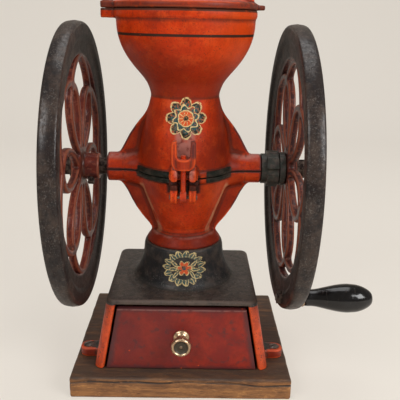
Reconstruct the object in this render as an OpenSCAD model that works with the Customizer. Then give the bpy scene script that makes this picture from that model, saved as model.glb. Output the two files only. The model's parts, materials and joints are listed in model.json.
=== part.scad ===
// Two-wheel counter coffee mill: cast hopper and grinding case on a box base
// with a drawer, screwed to a wooden board. Sizes are in millimetres, the
// board's underside is z = 0, the drawer faces -Y and the shaft lies along X.

/* [Board] */
// Width of the wooden board, side to side
board_w = 207; // [196:1:240]
// Depth of the wooden board, front to back
board_d = 181; // [172:1:220]
// Thickness of the wooden board
board_t = 21; // [16:0.5:30]
// Radius of the board's upright corners
board_corner_r = 5; // [2:0.5:12]
// Chamfer round the board's top and bottom edges
board_chamfer = 1.6; // [0.5:0.1:3]

/* [Base box] */
// Height of the cast base, from the board to its top plate
base_h = 68; // [62:1:90]
// Width of the base at its top plate
base_top_w = 141; // [134:1:146]
// Width of the base where it stands on the board
base_foot_w = 165; // [158:1:172]
// Depth of the base at its top plate
base_top_d = 132; // [126:1:138]
// Depth of the base where it stands on the board
base_foot_d = 149; // [138:1:152]
// Radius of the base's upright corners
base_corner_r = 8; // [4:0.5:12]
// Thickness of the top plate
plate_t = 5.4; // [4:0.2:8]
// Thickness of the cast walls
base_wall = 5; // [4:0.2:6.5]
// Width of the thick wall ends beside the drawer
wall_end_w = 9; // [7.6:0.1:9.6]
// How far back the thick wall ends reach
wall_end_d = 8; // [5:0.5:12]
// Reach of each screw lug out from the wall
lug_reach = 17; // [14:0.5:20]
// Width of each screw lug
lug_w = 16; // [12:0.5:20]
// Height of each screw lug
lug_h = 9.5; // [6:0.5:12]
// Distance of the two side lugs in front of the middle
lug_y = 45; // [36:1:54]
// Reach of the back lug out from the wall
back_lug_reach = 15; // [12:0.5:15.5]
// Hole for the board screws
lug_hole_d = 5; // [4:0.1:6]

/* [Pedestal] */
// Height of the round pedestal over the plate
pedestal_h = 39; // [34:1:48]
// Outer radius at the pedestal's top
pedestal_top_r = 39.4; // [38.8:0.2:42]
// Outer radius low on the pedestal, over its fillet
pedestal_low_r = 47; // [45:0.5:49]
// How far the fillet spreads on the plate
pedestal_fillet = 9; // [6:0.5:11]
// Thickness of the pedestal's wall
pedestal_wall = 5; // [4:0.2:6]
// Thickness of the ring that carries the grinding case
seat_t = 5; // [4:0.5:7]
// Radius of the opening through the seat and the case's foot
throat_r = 21; // [18:0.5:22]

/* [Drawer] */
// Gap between the drawer's front and the wall ends
drawer_gap = 2.3; // [1.6:0.1:5]
// Gap over the drawer's front, under the plate
drawer_top_gap = 3.1; // [2:0.1:6]
// Thickness of the drawer's front
drawer_front_t = 7; // [5:0.5:10]
// How far the front face sits behind the wall ends
drawer_recess = 0.6; // [0.2:0.1:3]
// Play under the drawer
drawer_play = 0.3; // [0.2:0.1:1]
// Outer width of the tray
tray_w = 112; // [100:1:116]
// Outer depth of the tray, behind the front
tray_d = 112; // [90:1:118]
// Height of the tray
tray_h = 48; // [36:1:54]
// Wall of the tray
tray_wall = 4; // [3:0.2:6]
// How far the drawer pulls out
drawer_travel = 95; // [60:1:100]
// Diameter of the knob's head
knob_d = 19; // [14:0.2:22]
// Reach of the knob out of the drawer's front
knob_reach = 20; // [15:0.5:26]
// Height of the knob over the board
knob_z = 32; // [28:1:40]

/* [Grinding case] */
// Height of the shaft over the pedestal's top
case_h = 73; // [70:1:82]
// Outer radius of the case at the parting line
case_r = 44.2; // [43:0.2:46]
// Wall of the case
case_wall = 4.8; // [4:0.2:6]
// How far the parting flange stands out from the case
flange_reach = 3; // [2.6:0.1:4.8]
// Thickness of each half of the flange
flange_t = 5; // [4:0.2:6]
// How far the foot ring sits in from the pedestal's edge
foot_step = 2.6; // [1:0.1:4]
// Height of the foot ring
foot_t = 9; // [7:0.5:11]
// Thickness of the flat side webs
web_t = 6.5; // [5:0.5:9]
// Outer radius of the shaft bosses
boss_r = 14.1; // [12.6:0.1:16]
// How far the shaft bosses reach out of the case
boss_reach = 30.2; // [26:0.2:31.8]

/* [Hopper] */
// Height of the hopper's rim over the shaft
hopper_h = 147.4; // [144:0.2:160]
// Outer radius of the hopper's rim bead
rim_r = 65; // [63.9:0.1:67]
// Outer radius of the waist between hopper and case
waist_r = 32.2; // [31:0.1:34]
// Height of the waist over the shaft
waist_z = 70.6; // [66:0.2:76]
// Wall of the hopper
hopper_wall = 4; // [3:0.2:5]

/* [Cover] */
// Height of the cover's ring
cover_ring_t = 6.2; // [5:0.2:9]
// Rise of the cover's dome over its ring
cover_rise = 20; // [12:1:30]
// Wall of the cover
cover_wall = 3.2; // [2.4:0.2:5]
// Distance of the pivot out from the rim
pivot_reach = 6; // [5:0.2:9]
// Radius of the pivot lugs
pivot_lug_r = 7; // [6:0.2:8]
// Diameter of the pivot screw
pivot_d = 5; // [4:0.1:6]
// Height of the thumb lug over the cover's ring
thumb_h = 15; // [8:1:22]
// How far the cover swings aside, in degrees
cover_swing = 120; // [60:5:130]

/* [Clamp and hinge] */
// Distance of the clamp bolt out from the flange
clamp_reach = 9.8; // [7.8:0.1:12.8]
// Diameter of the clamp bolt
clamp_d = 4.6; // [4:0.2:6]
// Half of the slot between the ears
slot_half = 5.1; // [4.6:0.1:6]
// Width of each ear
ear_w = 6.5; // [5:0.5:8]
// Height of the upper ears over the parting line
ear_h = 11.4; // [9:0.2:13]
// Depth of the clamp's cross pin below the parting line
pin_drop = 14; // [12.5:0.5:16]
// Diameter of the clamp's cross pin
pin_d = 3.2; // [2.6:0.2:4]
// Height of the wing nut's hub
nut_hub_h = 10; // [7:0.5:13]
// Full height of the wing nut
nut_h = 25.5; // [18:0.5:30]
// Width over the two wings
nut_w = 22.4; // [20:0.2:26]
// Thickness of each wing
wing_t = 5.6; // [4:0.2:7]
// Distance of the hinge pin out from the flange
hinge_reach = 7.8; // [6.8:0.1:12.8]
// Radius of the hinge knuckles
knuckle_r = 6; // [5:0.2:6.6]
// Half width of the middle knuckle
knuckle_half = 9; // [6:0.5:12]
// Diameter of the hinge pin
hinge_d = 5; // [4:0.2:6]
// How far the hopper tilts back, in degrees
hopper_tilt = 95; // [60:5:100]

/* [Shaft and wheels] */
// Diameter of the shaft
shaft_d = 16; // [14:0.5:18]
// Radius of the wheels
wheel_r = 136.5; // [120:0.5:138]
// Width of the wheels' tread
tread_w = 15.5; // [12:0.5:18]
// Radial depth of the wheels' rim
rim_depth = 31; // [24:0.5:34]
// Distance of each rim's middle out from the end of its boss
wheel_reach = 27.9; // [26.6:0.1:31.6]
// Thickness of the spokes
spoke_t = 7; // [5:0.5:9]
// Width of the spokes' ribs
rib_w = 6; // [4.5:0.5:7]
// Outer radius of the wheels' hubs
hub_r = 12.7; // [11.6:0.1:15]
// Gap between the left boss and the left hub
left_gap = 7.9; // [5.6:0.1:15.6]
// Turn of the left wheel's spokes, in degrees
left_turn = 21; // [0:1:59]
// Turn of the right wheel's spokes, in degrees
right_turn = 42; // [0:1:59]
// Outer radius of the adjusting nut
adjust_r = 17.6; // [15:0.2:19]
// Length of the adjusting nut
adjust_l = 17; // [13:0.5:18]
// Outer radius of the lock ring beside it
lock_r = 16.2; // [13:0.2:18]
// Length of the lock ring
lock_l = 6; // [4:0.5:7]

/* [Grinding parts] */
// Outer radius of the burrs
burr_r = 25; // [24:0.5:26]
// Thickness of each burr
burr_t = 7; // [5:0.5:9]
// Gap between the burrs' faces
burr_gap = 0.6; // [0.3:0.1:1.5]
// Teeth round each burr
burr_teeth = 12; // [8:1:18]
// Radius of the feed screw
screw_r = 12.5; // [11.5:0.5:13]

/* [Handle] */
// Distance of the handle from the shaft
handle_r = 125; // [118:0.5:125.5]
// Angle of the handle ahead of the wheel's lowest point, in degrees
handle_angle = 26; // [0:1:90]
// Length of the wooden grip
grip_l = 64.6; // [50:0.2:90]
// Largest radius of the grip
grip_r = 13.6; // [11:0.1:16]
// Radius of the grip's neck
neck_r = 8; // [7:0.1:9]
// Diameter of the handle's bolt
bolt_d = 6.4; // [5:0.2:8]

/* [Hidden] */
$fn = 96;
eps = 0.01;          // overlap that joins pieces of one casting
run_fit = 0.05;      // radial clearance of a running fit
flat_gap = 0.3;      // clearance between flat faces that turn past each other
plate_z = board_t + base_h;
under_z = plate_z - plate_t;
seat_z = plate_z + pedestal_h;
shaft_z = seat_z + case_h;
rim_z = shaft_z + hopper_h;
shaft_r = shaft_d / 2;
flange_r = case_r + flange_reach;
foot_r = pedestal_top_r - foot_step;
boss_end = case_r + boss_reach;
pivot_x = rim_r + pivot_reach;
clamp_y = flange_r + clamp_reach;
hinge_y = flange_r + hinge_reach;
wheel_x = boss_end + wheel_reach;
hub_in_x = boss_end + left_gap;
bore_r = shaft_r + run_fit;
taper_x = (base_foot_w - base_top_w) / 2 / base_h;
taper_y = (base_foot_d - base_top_d) / 2 / base_h;
function box_x(z) = base_foot_w / 2 - taper_x * (z - board_t);
function box_y(z) = base_foot_d / 2 - taper_y * (z - board_t);
lug_x = base_foot_w / 2 + lug_reach - lug_w / 2;
back_lug_y = base_foot_d / 2 + back_lug_reach - lug_w / 2;
// Middle of each lug, and the way that it points
lugs = [[-lug_x, -lug_y, 180], [lug_x, -lug_y, 0], [0, back_lug_y, 90]];
foot_screw_r = (throat_r + pedestal_top_r - pedestal_wall) / 2 + 0.5;
foot_screw_d = 5;
ear_x = slot_half + ear_w;
ear_front = clamp_y + 5;
slot_back = clamp_y - 4.5;
rim_in = wheel_r - rim_depth;
tip_r = wheel_r - rim_depth - 15;
wide_r = tip_r - 29;
petal_w = 20;
hub_out_x = wheel_x + tread_w / 2 - 1;
part_x = 6;          // face of the inner wall that carries the fixed burr
screw_x = 13.2 - case_r;   // where the feed screw begins
burr2_x = part_x + burr_t + burr_gap;
burr_bolt_r = screw_r + 8.7;
grip_x = wheel_x + tread_w / 2 + 6;
adjust_x = boss_end + flat_gap;
lock_x = adjust_x + adjust_l + flat_gap;
wheel_hub_x = lock_x + lock_l;
grub_d = 5;
thumb_w = 12.6;
thumb_x = rim_r - 9.7;
front_z0 = board_t + drawer_play;
front_z1 = under_z - drawer_top_gap;
handle_y = -handle_r * sin(handle_angle);
handle_z = shaft_z - handle_r * cos(handle_angle);

// The outlines of the castings are drawn at these sizes, and the functions
// below carry their points to the sizes above.
drawn_case_r = 44.2;
drawn_case_h = 73;
drawn_waist_r = 32.2;
drawn_waist_z = 70.6;
drawn_rim_r = 65;
drawn_hopper_h = 147.4;
drawn_throat_r = 21;
// Radius and height of a point between the case and the waist
function body_r(r) = waist_r + (r - drawn_waist_r)
  * (case_r - waist_r) / (drawn_case_r - drawn_waist_r);
function body_z(z) = z * waist_z / drawn_waist_z;
// Radius and height of a point between the waist and the rim
function bell_r(r) = waist_r + (r - drawn_waist_r)
  * (rim_r - waist_r) / (drawn_rim_r - drawn_waist_r);
function bell_z(z) = waist_z + (z - drawn_waist_z)
  * (hopper_h - waist_z) / (drawn_hopper_h - drawn_waist_z);
// Radius and height of a point between the throat and the case
function bowl_r(r) = throat_r + (r - drawn_throat_r)
  * (case_r - throat_r) / (drawn_case_r - drawn_throat_r);
function bowl_z(z) = z * case_h / drawn_case_h;
function bowl(points) = [for (p = points) [bowl_r(p[0]), bowl_z(p[1])]];
function body(points) = [for (p = points) [body_r(p[0]), body_z(p[1])]];
// The same for a web's outline, out from the middle
function web_x(x) = x * case_r / drawn_case_r;

// Colours
oak = "#6f5238"; red = "#b43c14"; black = "#3a3634"; maroon = "#7a271f";
steel = "#8d8a86"; brass = "#b08d4f"; dark_red = "#55231a"; iron = "#5b5754";
white_iron = "#77736e"; black_wood = "#16130f";

// ---- shared shapes -------------------------------------------------------

// Turns a shape drawn round Z so that it lies along +X
module along_x(x = 0, y = 0, z = 0) {
  translate([x, y, z]) rotate([0, 90, 0]) children();
}

// Cylinder along X from x0 to x1 about the line y, z
module rod_x(x0, x1, r, y = 0, z = 0) {
  along_x(x0, y, z) cylinder(h = x1 - x0, r = r);
}

// Flat plate in the X-Z plane from an outline, t thick about y
module plate_xz(points, t, y = 0) {
  translate([0, y + t / 2, 0]) rotate([90, 0, 0])
    linear_extrude(height = t) polygon(points);
}

// Prism along X from an outline in the Y-Z plane
module prism_x(points, x0, x1) {
  translate([x0, 0, 0]) rotate([90, 0, 90])
    linear_extrude(height = x1 - x0) polygon(points);
}

module rounded_slab(w, d, r, t) {
  linear_extrude(height = t) rounded_rect(w, d, r);
}

module rounded_rect(w, d, r) {
  union() {
    square([w - 2 * r, d], center = true);
    square([w, d - 2 * r], center = true);
    for (x = [-1, 1], y = [-1, 1])
      translate([x * (w / 2 - r), y * (d / 2 - r)]) circle(r = r);
  }
}

// Slotted screw pointing down from its head's underside at z = 0
module slotted_screw(d, l, head_d, head_h) {
  difference() {
    union() {
      translate([0, 0, -l]) cylinder(h = l + eps, r = d / 2);
      cylinder(h = head_h, r = head_d / 2);
    }
    translate([-head_d, -0.5, head_h * 0.55])
      cube([2 * head_d, 1, head_h]);
  }
}

// ---- board and base ------------------------------------------------------

// Places its children on every lug's middle at height z
module at_lugs(z) for (p = lugs) translate([p[0], p[1], z])
  rotate([0, 0, p[2]]) children();

module base_board() color(oak) difference() {
  c = board_chamfer;
  intersection() {
    rounded_slab(board_w, board_d, board_corner_r, board_t);
    plate_xz([[-board_w / 2 + c, 0], [board_w / 2 - c, 0],
      [board_w / 2, c], [board_w / 2, board_t - c],
      [board_w / 2 - c, board_t], [-board_w / 2 + c, board_t],
      [-board_w / 2, board_t - c], [-board_w / 2, c]], board_d + 2);
    prism_x([[-board_d / 2 + c, 0], [board_d / 2 - c, 0],
      [board_d / 2, c], [board_d / 2, board_t - c],
      [board_d / 2 - c, board_t], [-board_d / 2 + c, board_t],
      [-board_d / 2, board_t - c], [-board_d / 2, c]],
      -board_w / 2 - 1, board_w / 2 + 1);
  }
  at_lugs(board_t - 13) cylinder(h = 14, r = lug_hole_d / 2);
}

// Outer box of the base, tapered both ways
module base_shell() hull() {
  translate([0, 0, board_t])
    rounded_slab(base_foot_w, base_foot_d, base_corner_r, eps, $fn = 32);
  translate([0, 0, plate_z - eps])
    rounded_slab(base_top_w, base_top_d, base_corner_r, eps, $fn = 32);
}

// Wedge of the box from z0 up to z1, drawn in by dx at the sides and dy
// front and back
module box_core(z0, z1, dx, dy) intersection() {
  plate_xz([[-box_x(z0) + dx, z0], [box_x(z0) - dx, z0],
    [box_x(z1) - dx, z1], [-box_x(z1) + dx, z1]], base_foot_d + 20);
  prism_x([[-box_y(z0) + dy, z0], [box_y(z0) - dy, z0],
    [box_y(z1) - dy, z1], [-box_y(z1) + dy, z1]],
    -base_foot_w, base_foot_w);
}

module front_opening() plate_xz([
  [-box_x(board_t - 1) + wall_end_w, board_t - 1],
  [box_x(board_t - 1) - wall_end_w, board_t - 1],
  [box_x(under_z) - wall_end_w, under_z],
  [-box_x(under_z) + wall_end_w, under_z]],
  base_foot_d / 2, -base_foot_d / 2);

module pedestal_outline() {
  h = pedestal_h;
  rt = pedestal_top_r;
  rl = pedestal_low_r;
  f = pedestal_fillet;
  polygon([[throat_r, -plate_t / 2], [rl + f, -plate_t / 2], [rl + f, 0],
    [rl + f * 0.6, h * 0.015], [rl + f * 0.28, h * 0.05], [rl, h * 0.12],
    [rl - (rl - rt) * 0.18, h * 0.2], [rl - (rl - rt) * 0.5, h * 0.36],
    [rl - (rl - rt) * 0.76, h * 0.52], [rl - (rl - rt) * 0.93, h * 0.7],
    [rt, h * 0.86], [rt - 0.5, h - 3.2], [rt - 1.2, h - 1.2],
    [rt - 2.2, h], [throat_r, h]]);
}

module base_casting() color(black) difference() {
  union() {
    base_shell();
    translate([0, 0, plate_z]) rotate_extrude() pedestal_outline();
    at_lugs(board_t) {
      cylinder(h = lug_h, r = lug_w / 2);
      translate([-lug_w / 2 - 6, -lug_w / 2, 0])
        cube([lug_w / 2 + 6, lug_w, lug_h]);
    }
  }
  // the walls are thick beside the drawer and thin behind it
  intersection() {
    box_core(board_t - 1, under_z, base_wall, wall_end_d);
    translate([-base_foot_w, -base_foot_d, 0])
      cube([2 * base_foot_w, base_foot_d + eps, 3 * base_h]);
  }
  intersection() {
    box_core(board_t - 1, under_z, base_wall, base_wall);
    translate([-base_foot_w, 0, 0])
      cube([2 * base_foot_w, base_foot_d, 3 * base_h]);
  }
  front_opening();
  // inside of the pedestal
  translate([0, 0, under_z - 1]) rotate_extrude() polygon([
    [0, 0], [pedestal_low_r - pedestal_wall, 0],
    [pedestal_low_r - pedestal_wall - 1, 8],
    [pedestal_top_r - pedestal_wall, pedestal_h * 0.5 + 6],
    [pedestal_top_r - pedestal_wall, pedestal_h + plate_t + 1 - seat_t],
    [0, pedestal_h + plate_t + 1 - seat_t]]);
  translate([0, 0, plate_z]) cylinder(h = pedestal_h + 1, r = throat_r);
  for (a = [90, 210, 330]) rotate([0, 0, a])
    translate([foot_screw_r, 0, seat_z - seat_t - 1])
      cylinder(h = seat_t + 2, r = foot_screw_d / 2);
  at_lugs(board_t) {
    translate([0, 0, -1]) cylinder(h = lug_h + 2, r = lug_hole_d / 2);
    translate([0, 0, lug_h - 2.4])
      cylinder(h = 2.4 + eps, r1 = lug_hole_d / 2,
        r2 = lug_hole_d / 2 + 2.4);
  }
}

module base_screws() color(steel) at_lugs(board_t) difference() {
  union() {
    translate([0, 0, -12])
      cylinder(h = lug_h + 10, r = lug_hole_d / 2 - run_fit);
    translate([0, 0, lug_h - 2.4]) cylinder(h = 2.4,
      r1 = lug_hole_d / 2 - run_fit, r2 = lug_hole_d / 2 + 2.3);
    translate([0, 0, lug_h - eps]) intersection() {
      cylinder(h = 1.4, r = lug_hole_d / 2 + 2.3);
      translate([0, 0, -10]) sphere(r = 11.2);
    }
  }
  rotate([0, 0, 35]) translate([-8, -0.6, lug_h - 0.4]) cube([16, 1.2, 4]);
}

module foot_screws() color(steel) for (a = [90, 210, 330])
  rotate([0, 0, a]) translate([foot_screw_r, 0, seat_z - seat_t])
    mirror([0, 0, 1])
      slotted_screw(foot_screw_d - 2 * run_fit, seat_t + foot_t - 3, 9, 3);

// ---- drawer --------------------------------------------------------------

function face_y(z) = -box_y(z) + drawer_recess;

module drawer_front() color(maroon) difference() {
  intersection() {
    plate_xz([
      [-box_x(front_z0) + wall_end_w + drawer_gap, front_z0],
      [box_x(front_z0) - wall_end_w - drawer_gap, front_z0],
      [box_x(front_z1) - wall_end_w - drawer_gap, front_z1],
      [-box_x(front_z1) + wall_end_w + drawer_gap, front_z1]],
      base_foot_d, 0);
    prism_x([[face_y(front_z0), front_z0],
      [face_y(front_z0) + drawer_front_t, front_z0],
      [face_y(front_z1) + drawer_front_t, front_z1],
      [face_y(front_z1) + 1.2, front_z1],
      [face_y(front_z1 - 1.2), front_z1 - 1.2]],
      -base_foot_w / 2, base_foot_w / 2);
  }
  translate([0, 0, board_t + knob_z]) rotate([90, 0, 0])
    cylinder(h = base_foot_d, r = 2.2);
  tray_screw_holes();
}

tray_y0 = face_y(front_z0) + drawer_front_t;

module drawer_tray() color(oak) difference() {
  // the tray's front board follows the slope of the drawer's front
  prism_x([[tray_y0, front_z0], [tray_y0 + tray_d, front_z0],
    [tray_y0 + tray_d, front_z0 + tray_h],
    [face_y(front_z0 + tray_h) + drawer_front_t, front_z0 + tray_h]],
    -tray_w / 2, tray_w / 2);
  translate([-tray_w / 2 + tray_wall, tray_y0 + tray_wall + 6,
    front_z0 + tray_wall])
    cube([tray_w - 2 * tray_wall, tray_d - 2 * tray_wall - 6, tray_h]);
  translate([0, tray_y0, board_t + knob_z]) rotate([90, 0, 0])
    cylinder(h = 60, r = 2.2, center = true);
  tray_screw_holes();
}

// Heights of the tray's screws, which end skin behind the front's face
tray_screw_z = [for (z = [0.25, 0.75]) front_z0 + tray_h * z];
tray_screw_skin = 2;
function tray_screw_l(z) = tray_y0 + tray_wall + 6 - face_y(z)
  - tray_screw_skin;

module tray_screw_holes() for (x = [-1, 1], z = tray_screw_z)
  translate([x * tray_w * 0.4, face_y(z) + tray_screw_skin, z])
    rotate([-90, 0, 0]) cylinder(h = tray_screw_l(z) + 1, r = 1.4);

module tray_screws() color(steel) for (x = [-1, 1], z = tray_screw_z)
  translate([x * tray_w * 0.4, tray_y0 + tray_wall + 6, z])
    rotate([-90, 0, 0])
      slotted_screw(2.8 - 2 * run_fit, tray_screw_l(z) - 0.5, 5.6, 1.4);

knob_y = face_y(board_t + knob_z);
knob_r = knob_d / 2;
knob_hole = 8;

module drawer_knob() color(brass) difference() {
  translate([0, 0, board_t + knob_z]) rotate([90, 0, 0])
    rotate_extrude() translate([0, -knob_y]) polygon([
      [0, -1], [7.2, -1], [7.6, 0.4], [7.2, 1.6], [5.6, 2.6], [4.2, 4],
      [3.8, 6.4], [4.4, knob_reach - 9.4], [6.4, knob_reach - 7.4],
      [knob_r - 0.4, knob_reach - 5.2], [knob_r, knob_reach - 3.4],
      [knob_r - 0.2, knob_reach - 1.6], [knob_r - 1.4, knob_reach - 0.2],
      [knob_r - 2.6, knob_reach], [knob_r - 3.6, knob_reach - 0.8],
      [3.4, knob_reach - 2.2], [1.6, knob_reach - 1.8],
      [0, knob_reach - 1.6]]);
  // the seat against the sloped front
  prism_x([[knob_y + 10, board_t], [face_y(board_t), board_t],
    [face_y(plate_z), plate_z], [knob_y + 10, plate_z]], -20, 20);
  translate([0, knob_y + 2, board_t + knob_z]) rotate([90, 0, 0])
    cylinder(h = knob_hole + 2, r = 2 + run_fit);
}

module knob_screw() color(steel)
  translate([0, tray_y0 + tray_wall + 6, board_t + knob_z])
    rotate([-90, 0, 0])
      slotted_screw(4, tray_y0 + tray_wall + 6 - knob_y + knob_hole - 0.5,
        8, 2.2);

// ---- grinding case -------------------------------------------------------

// Outline of the lower half below the shaft, y is the height over the shaft
module lower_outline() polygon(concat([
  [throat_r, -case_h], [foot_r, -case_h], [foot_r, -case_h + 1.4],
  [foot_r - 2.4, -case_h + foot_t * 0.5], [foot_r - 5, -case_h + foot_t],
  [foot_r - 8.2, -case_h + foot_t + 1]],
  bowl([[27.4, -62], [26.6, -60], [27.3, -56], [29.2, -51.3], [32.2, -42],
    [35.6, -32.6], [39, -23.5]]),
  [[case_r - 2.6, -15], [case_r - 0.8, -8],
    [case_r, -flange_t - 0.8], [flange_r - 0.6, -flange_t],
    [flange_r, -flange_t + 0.6], [flange_r, 0],
    [case_r - case_wall, 0], [case_r - case_wall - 0.6, -10]],
  [for (p = bowl([[36.6, -20], [33, -30], [28.6, -41], [24.6, -50],
    [22, -57]])) [p[0] - case_wall + 4.8, p[1]]],
  [[throat_r, bowl_z(-60)]]));

lower_web = [for (p = [[0, -2], [58, -2], [62, -12], [60.7, -15.8],
  [55.7, -24], [51.8, -32.3], [47.2, -40.7], [41.4, -49.1], [34.6, -57.4],
  [31, -63], [0, -63]]) [web_x(p[0]), bowl_z(p[1])]];
upper_web = [for (p = [[0, 2], [58, 2], [62.2, 13], [61.7, 16.5],
  [57.4, 24.4], [53.2, 32.3], [48, 40.1], [42.6, 47], [37.8, 52.6],
  [32.5, 58.5], [0, 60]]) [web_x(p[0]), body_z(p[1])]];

function mirror_x(p) = [for (i = [len(p) - 1:-1:0]) [-p[i][0], p[i][1]]];

// Shaft boss on side s, whole round
module boss(s) mirror([s < 0 ? 1 : 0, 0, 0]) {
  rod_x(case_r - 8.2, boss_end, boss_r);
  along_x(case_r - 4.2) cylinder(h = 15, r1 = boss_r + 4.5, r2 = boss_r);
}

// Space inside the case round the feed screw and the burrs
module chamber() {
  rod_x(screw_x - 2, part_x + 1, screw_r + 1.2);
  rod_x(part_x, burr2_x + burr_t + 1.5, burr_r + 2);
}

module half_space(s) translate([-200, -200, s > 0 ? 0 : -400])
  cube([400, 400, 400]);

// Feed trough under the feed screw and the wall behind the fixed burr
module inner_walls() difference() {
  union() {
    rod_x(screw_x - 7, part_x - eps, screw_r + 5);
    rod_x(part_x - 5, part_x, case_r - 2);
  }
  rod_x(screw_x - 2, part_x + 1, screw_r + 1.2);
}

module case_inside() rotate_extrude($fn = 80) polygon(concat([
  [0, bowl_z(-60)], [throat_r + 1, bowl_z(-60)]],
  bowl([[22.5, -57], [25.4, -50], [29.6, -41], [34, -30], [37.8, -20]]),
  [[case_r - case_wall + 0.6, -10],
  [case_r - case_wall + 1, 0], [case_r - case_wall + 1, 5],
  [case_r - case_wall + 0.4, 12], [case_r - case_wall - 0.6, 22]],
  body([[36.4, 35], [33.6, 45], [30.8, 55.5]]),
  [[waist_r - hopper_wall + 1, waist_z - 3],
  [waist_r - hopper_wall + 1, waist_z], [0, waist_z]]));

module lower_casing() color(red) translate([0, 0, shaft_z]) difference() {
  union() {
    rotate_extrude() lower_outline();
    for (s = [-1, 1]) intersection() {
      union() {
        plate_xz(s > 0 ? lower_web : mirror_x(lower_web), web_t);
        boss(s);
      }
      half_space(-1);
      difference() {
        translate([-200, -200, -200]) cube([400, 400, 400]);
        rotate_extrude() polygon(concat([[0, -case_h],
          [throat_r + 0.5, -case_h], [throat_r + 0.5, bowl_z(-60)]],
          bowl([[22.5, -57], [25.4, -50], [29.6, -41], [34, -30],
            [37.6, -20]]),
          [[case_r - case_wall + 0.3, -10],
          [case_r - case_wall + 0.4, 1], [0, 1]]));
      }
    }
    intersection() {
      inner_walls();
      case_inside();
      half_space(-1);
    }
    // front pad and the ears that hold the clamp's pin
    translate([-ear_x - 1.5, -slot_back - 1, -flange_t])
      cube([2 * ear_x + 3, slot_back - case_r + 7.7, flange_t]);
    for (s = [-1, 1]) {
      translate([s * (slot_half + ear_w / 2) - ear_w / 2, 0, 0]) {
        rod_x(0, ear_w, 6.4, -clamp_y + 1, -pin_drop);
        translate([0, -ear_front + 2, -pin_drop])
          cube([ear_w, 6, pin_drop - 2.8]);
        translate([0, -clamp_y, -pin_drop - 6.4])
          cube([ear_w, clamp_y - case_r + 3.2, pin_drop + 4]);
      }
    }
    // outer knuckles of the rear hinge
    for (s = [-1, 1]) mirror([s < 0 ? 1 : 0, 0, 0]) {
      rod_x(knuckle_half + flat_gap, knuckle_half + 8, knuckle_r, hinge_y);
      translate([knuckle_half + flat_gap, case_r - 4.2, -knuckle_r])
        cube([8 - flat_gap, hinge_y - case_r + 4.2, knuckle_r]);
    }
  }
  // shaft bores, inner space, feed screw and burr
  rod_x(-boss_end - 1, boss_end + 1, bore_r);
  chamber();
  // slot for the clamp bolt
  translate([-slot_half, -ear_front - 5, -pin_drop - 12])
    cube([2 * slot_half, ear_front + 5 - slot_back, pin_drop + 20]);
  rod_x(-ear_x - 1, ear_x + 1, pin_d / 2, -clamp_y, -pin_drop);
  rod_x(-knuckle_half - 9, knuckle_half + 9, hinge_d / 2, hinge_y);
  // holes for the foot screws and the fixed burr's screws
  for (a = [90, 210, 330]) rotate([0, 0, a])
    translate([foot_screw_r, 0, -case_h - 1])
      cylinder(h = foot_t - 1.5, r = foot_screw_d / 2);
  for (a = [-50, -130]) along_x(part_x - 6,
    burr_bolt_r * cos(a), burr_bolt_r * sin(a))
      cylinder(h = 8, r = 2);
}

module hinge_pin() color(steel) {
  rod_x(-knuckle_half - 8, knuckle_half + 8, hinge_d / 2 - run_fit,
    hinge_y, shaft_z);
  for (s = [-1, 1]) rod_x(s * (knuckle_half + 9) - 1,
    s * (knuckle_half + 9) + 1, hinge_d / 2 + 1.4, hinge_y, shaft_z);
}

module clamp_pin() color(steel) {
  rod_x(-ear_x, ear_x, pin_d / 2 - run_fit, -clamp_y,
    shaft_z - pin_drop);
  for (s = [-1, 1]) rod_x(s * (ear_x + 0.5) - 0.5, s * (ear_x + 0.5) + 0.5,
    pin_d / 2 + 0.9, -clamp_y, shaft_z - pin_drop);
}

// ---- hopper --------------------------------------------------------------

module upper_outline() polygon(concat([
  [flange_r, 0], [flange_r, flange_t - 0.6], [flange_r - 0.6, flange_t],
  [case_r, flange_t + 0.8]],
  body([[44, 11], [43.1, 22], [40.8, 35], [38.2, 45], [35.6, 55.5],
    [33.9, 63]]),
  [[waist_r + 0.4, waist_z - 2.2], [waist_r, waist_z],
    [waist_r + 0.6, waist_z + 3.4]],
  [for (p = [[78.1, 34.2], [81.9, 35.9], [85.6, 38.3], [89.3, 41.3],
    [92.9, 44.4], [96.6, 47.6], [100.3, 50.5], [103.9, 53.1],
    [107.5, 55.3], [111.1, 57.3], [114.7, 59], [118.3, 60.4],
    [121.9, 61.5], [125.4, 62.4], [129, 63], [134, 63.5]])
    [bell_r(p[1]), bell_z(p[0])]],
  [[rim_r - 1.4, hopper_h - 9], [rim_r - 1.1, hopper_h - 7.6], [rim_r - 0.3,
    hopper_h - 6.6], [rim_r, hopper_h - 5.8], [rim_r, hopper_h - 0.8],
    [rim_r - 0.8, hopper_h], [rim_r - 4.6, hopper_h],
    [rim_r - 1.5 - hopper_wall, hopper_h - 4],
    [rim_r - 1.8 - hopper_wall, hopper_h - 16.4]],
  [for (p = [[125, 61.9], [119, 60.2], [113, 57.8], [107.5, 54.8],
    [102, 51], [96, 46.2], [90, 41], [84.4, 36.4], [79.4, 33.6]])
    [bell_r(p[1]) - hopper_wall, bell_z(p[0])]],
  [[waist_r - hopper_wall, waist_z + 1.6], [waist_r - hopper_wall,
    waist_z - 3]],
  [for (p = body([[31, 55], [33.6, 45], [36.2, 35], [38.5, 22],
    [39.2, 11]])) [p[0] - case_wall + 4.8, p[1]]],
  [[case_r - case_wall, 0]]));

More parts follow.
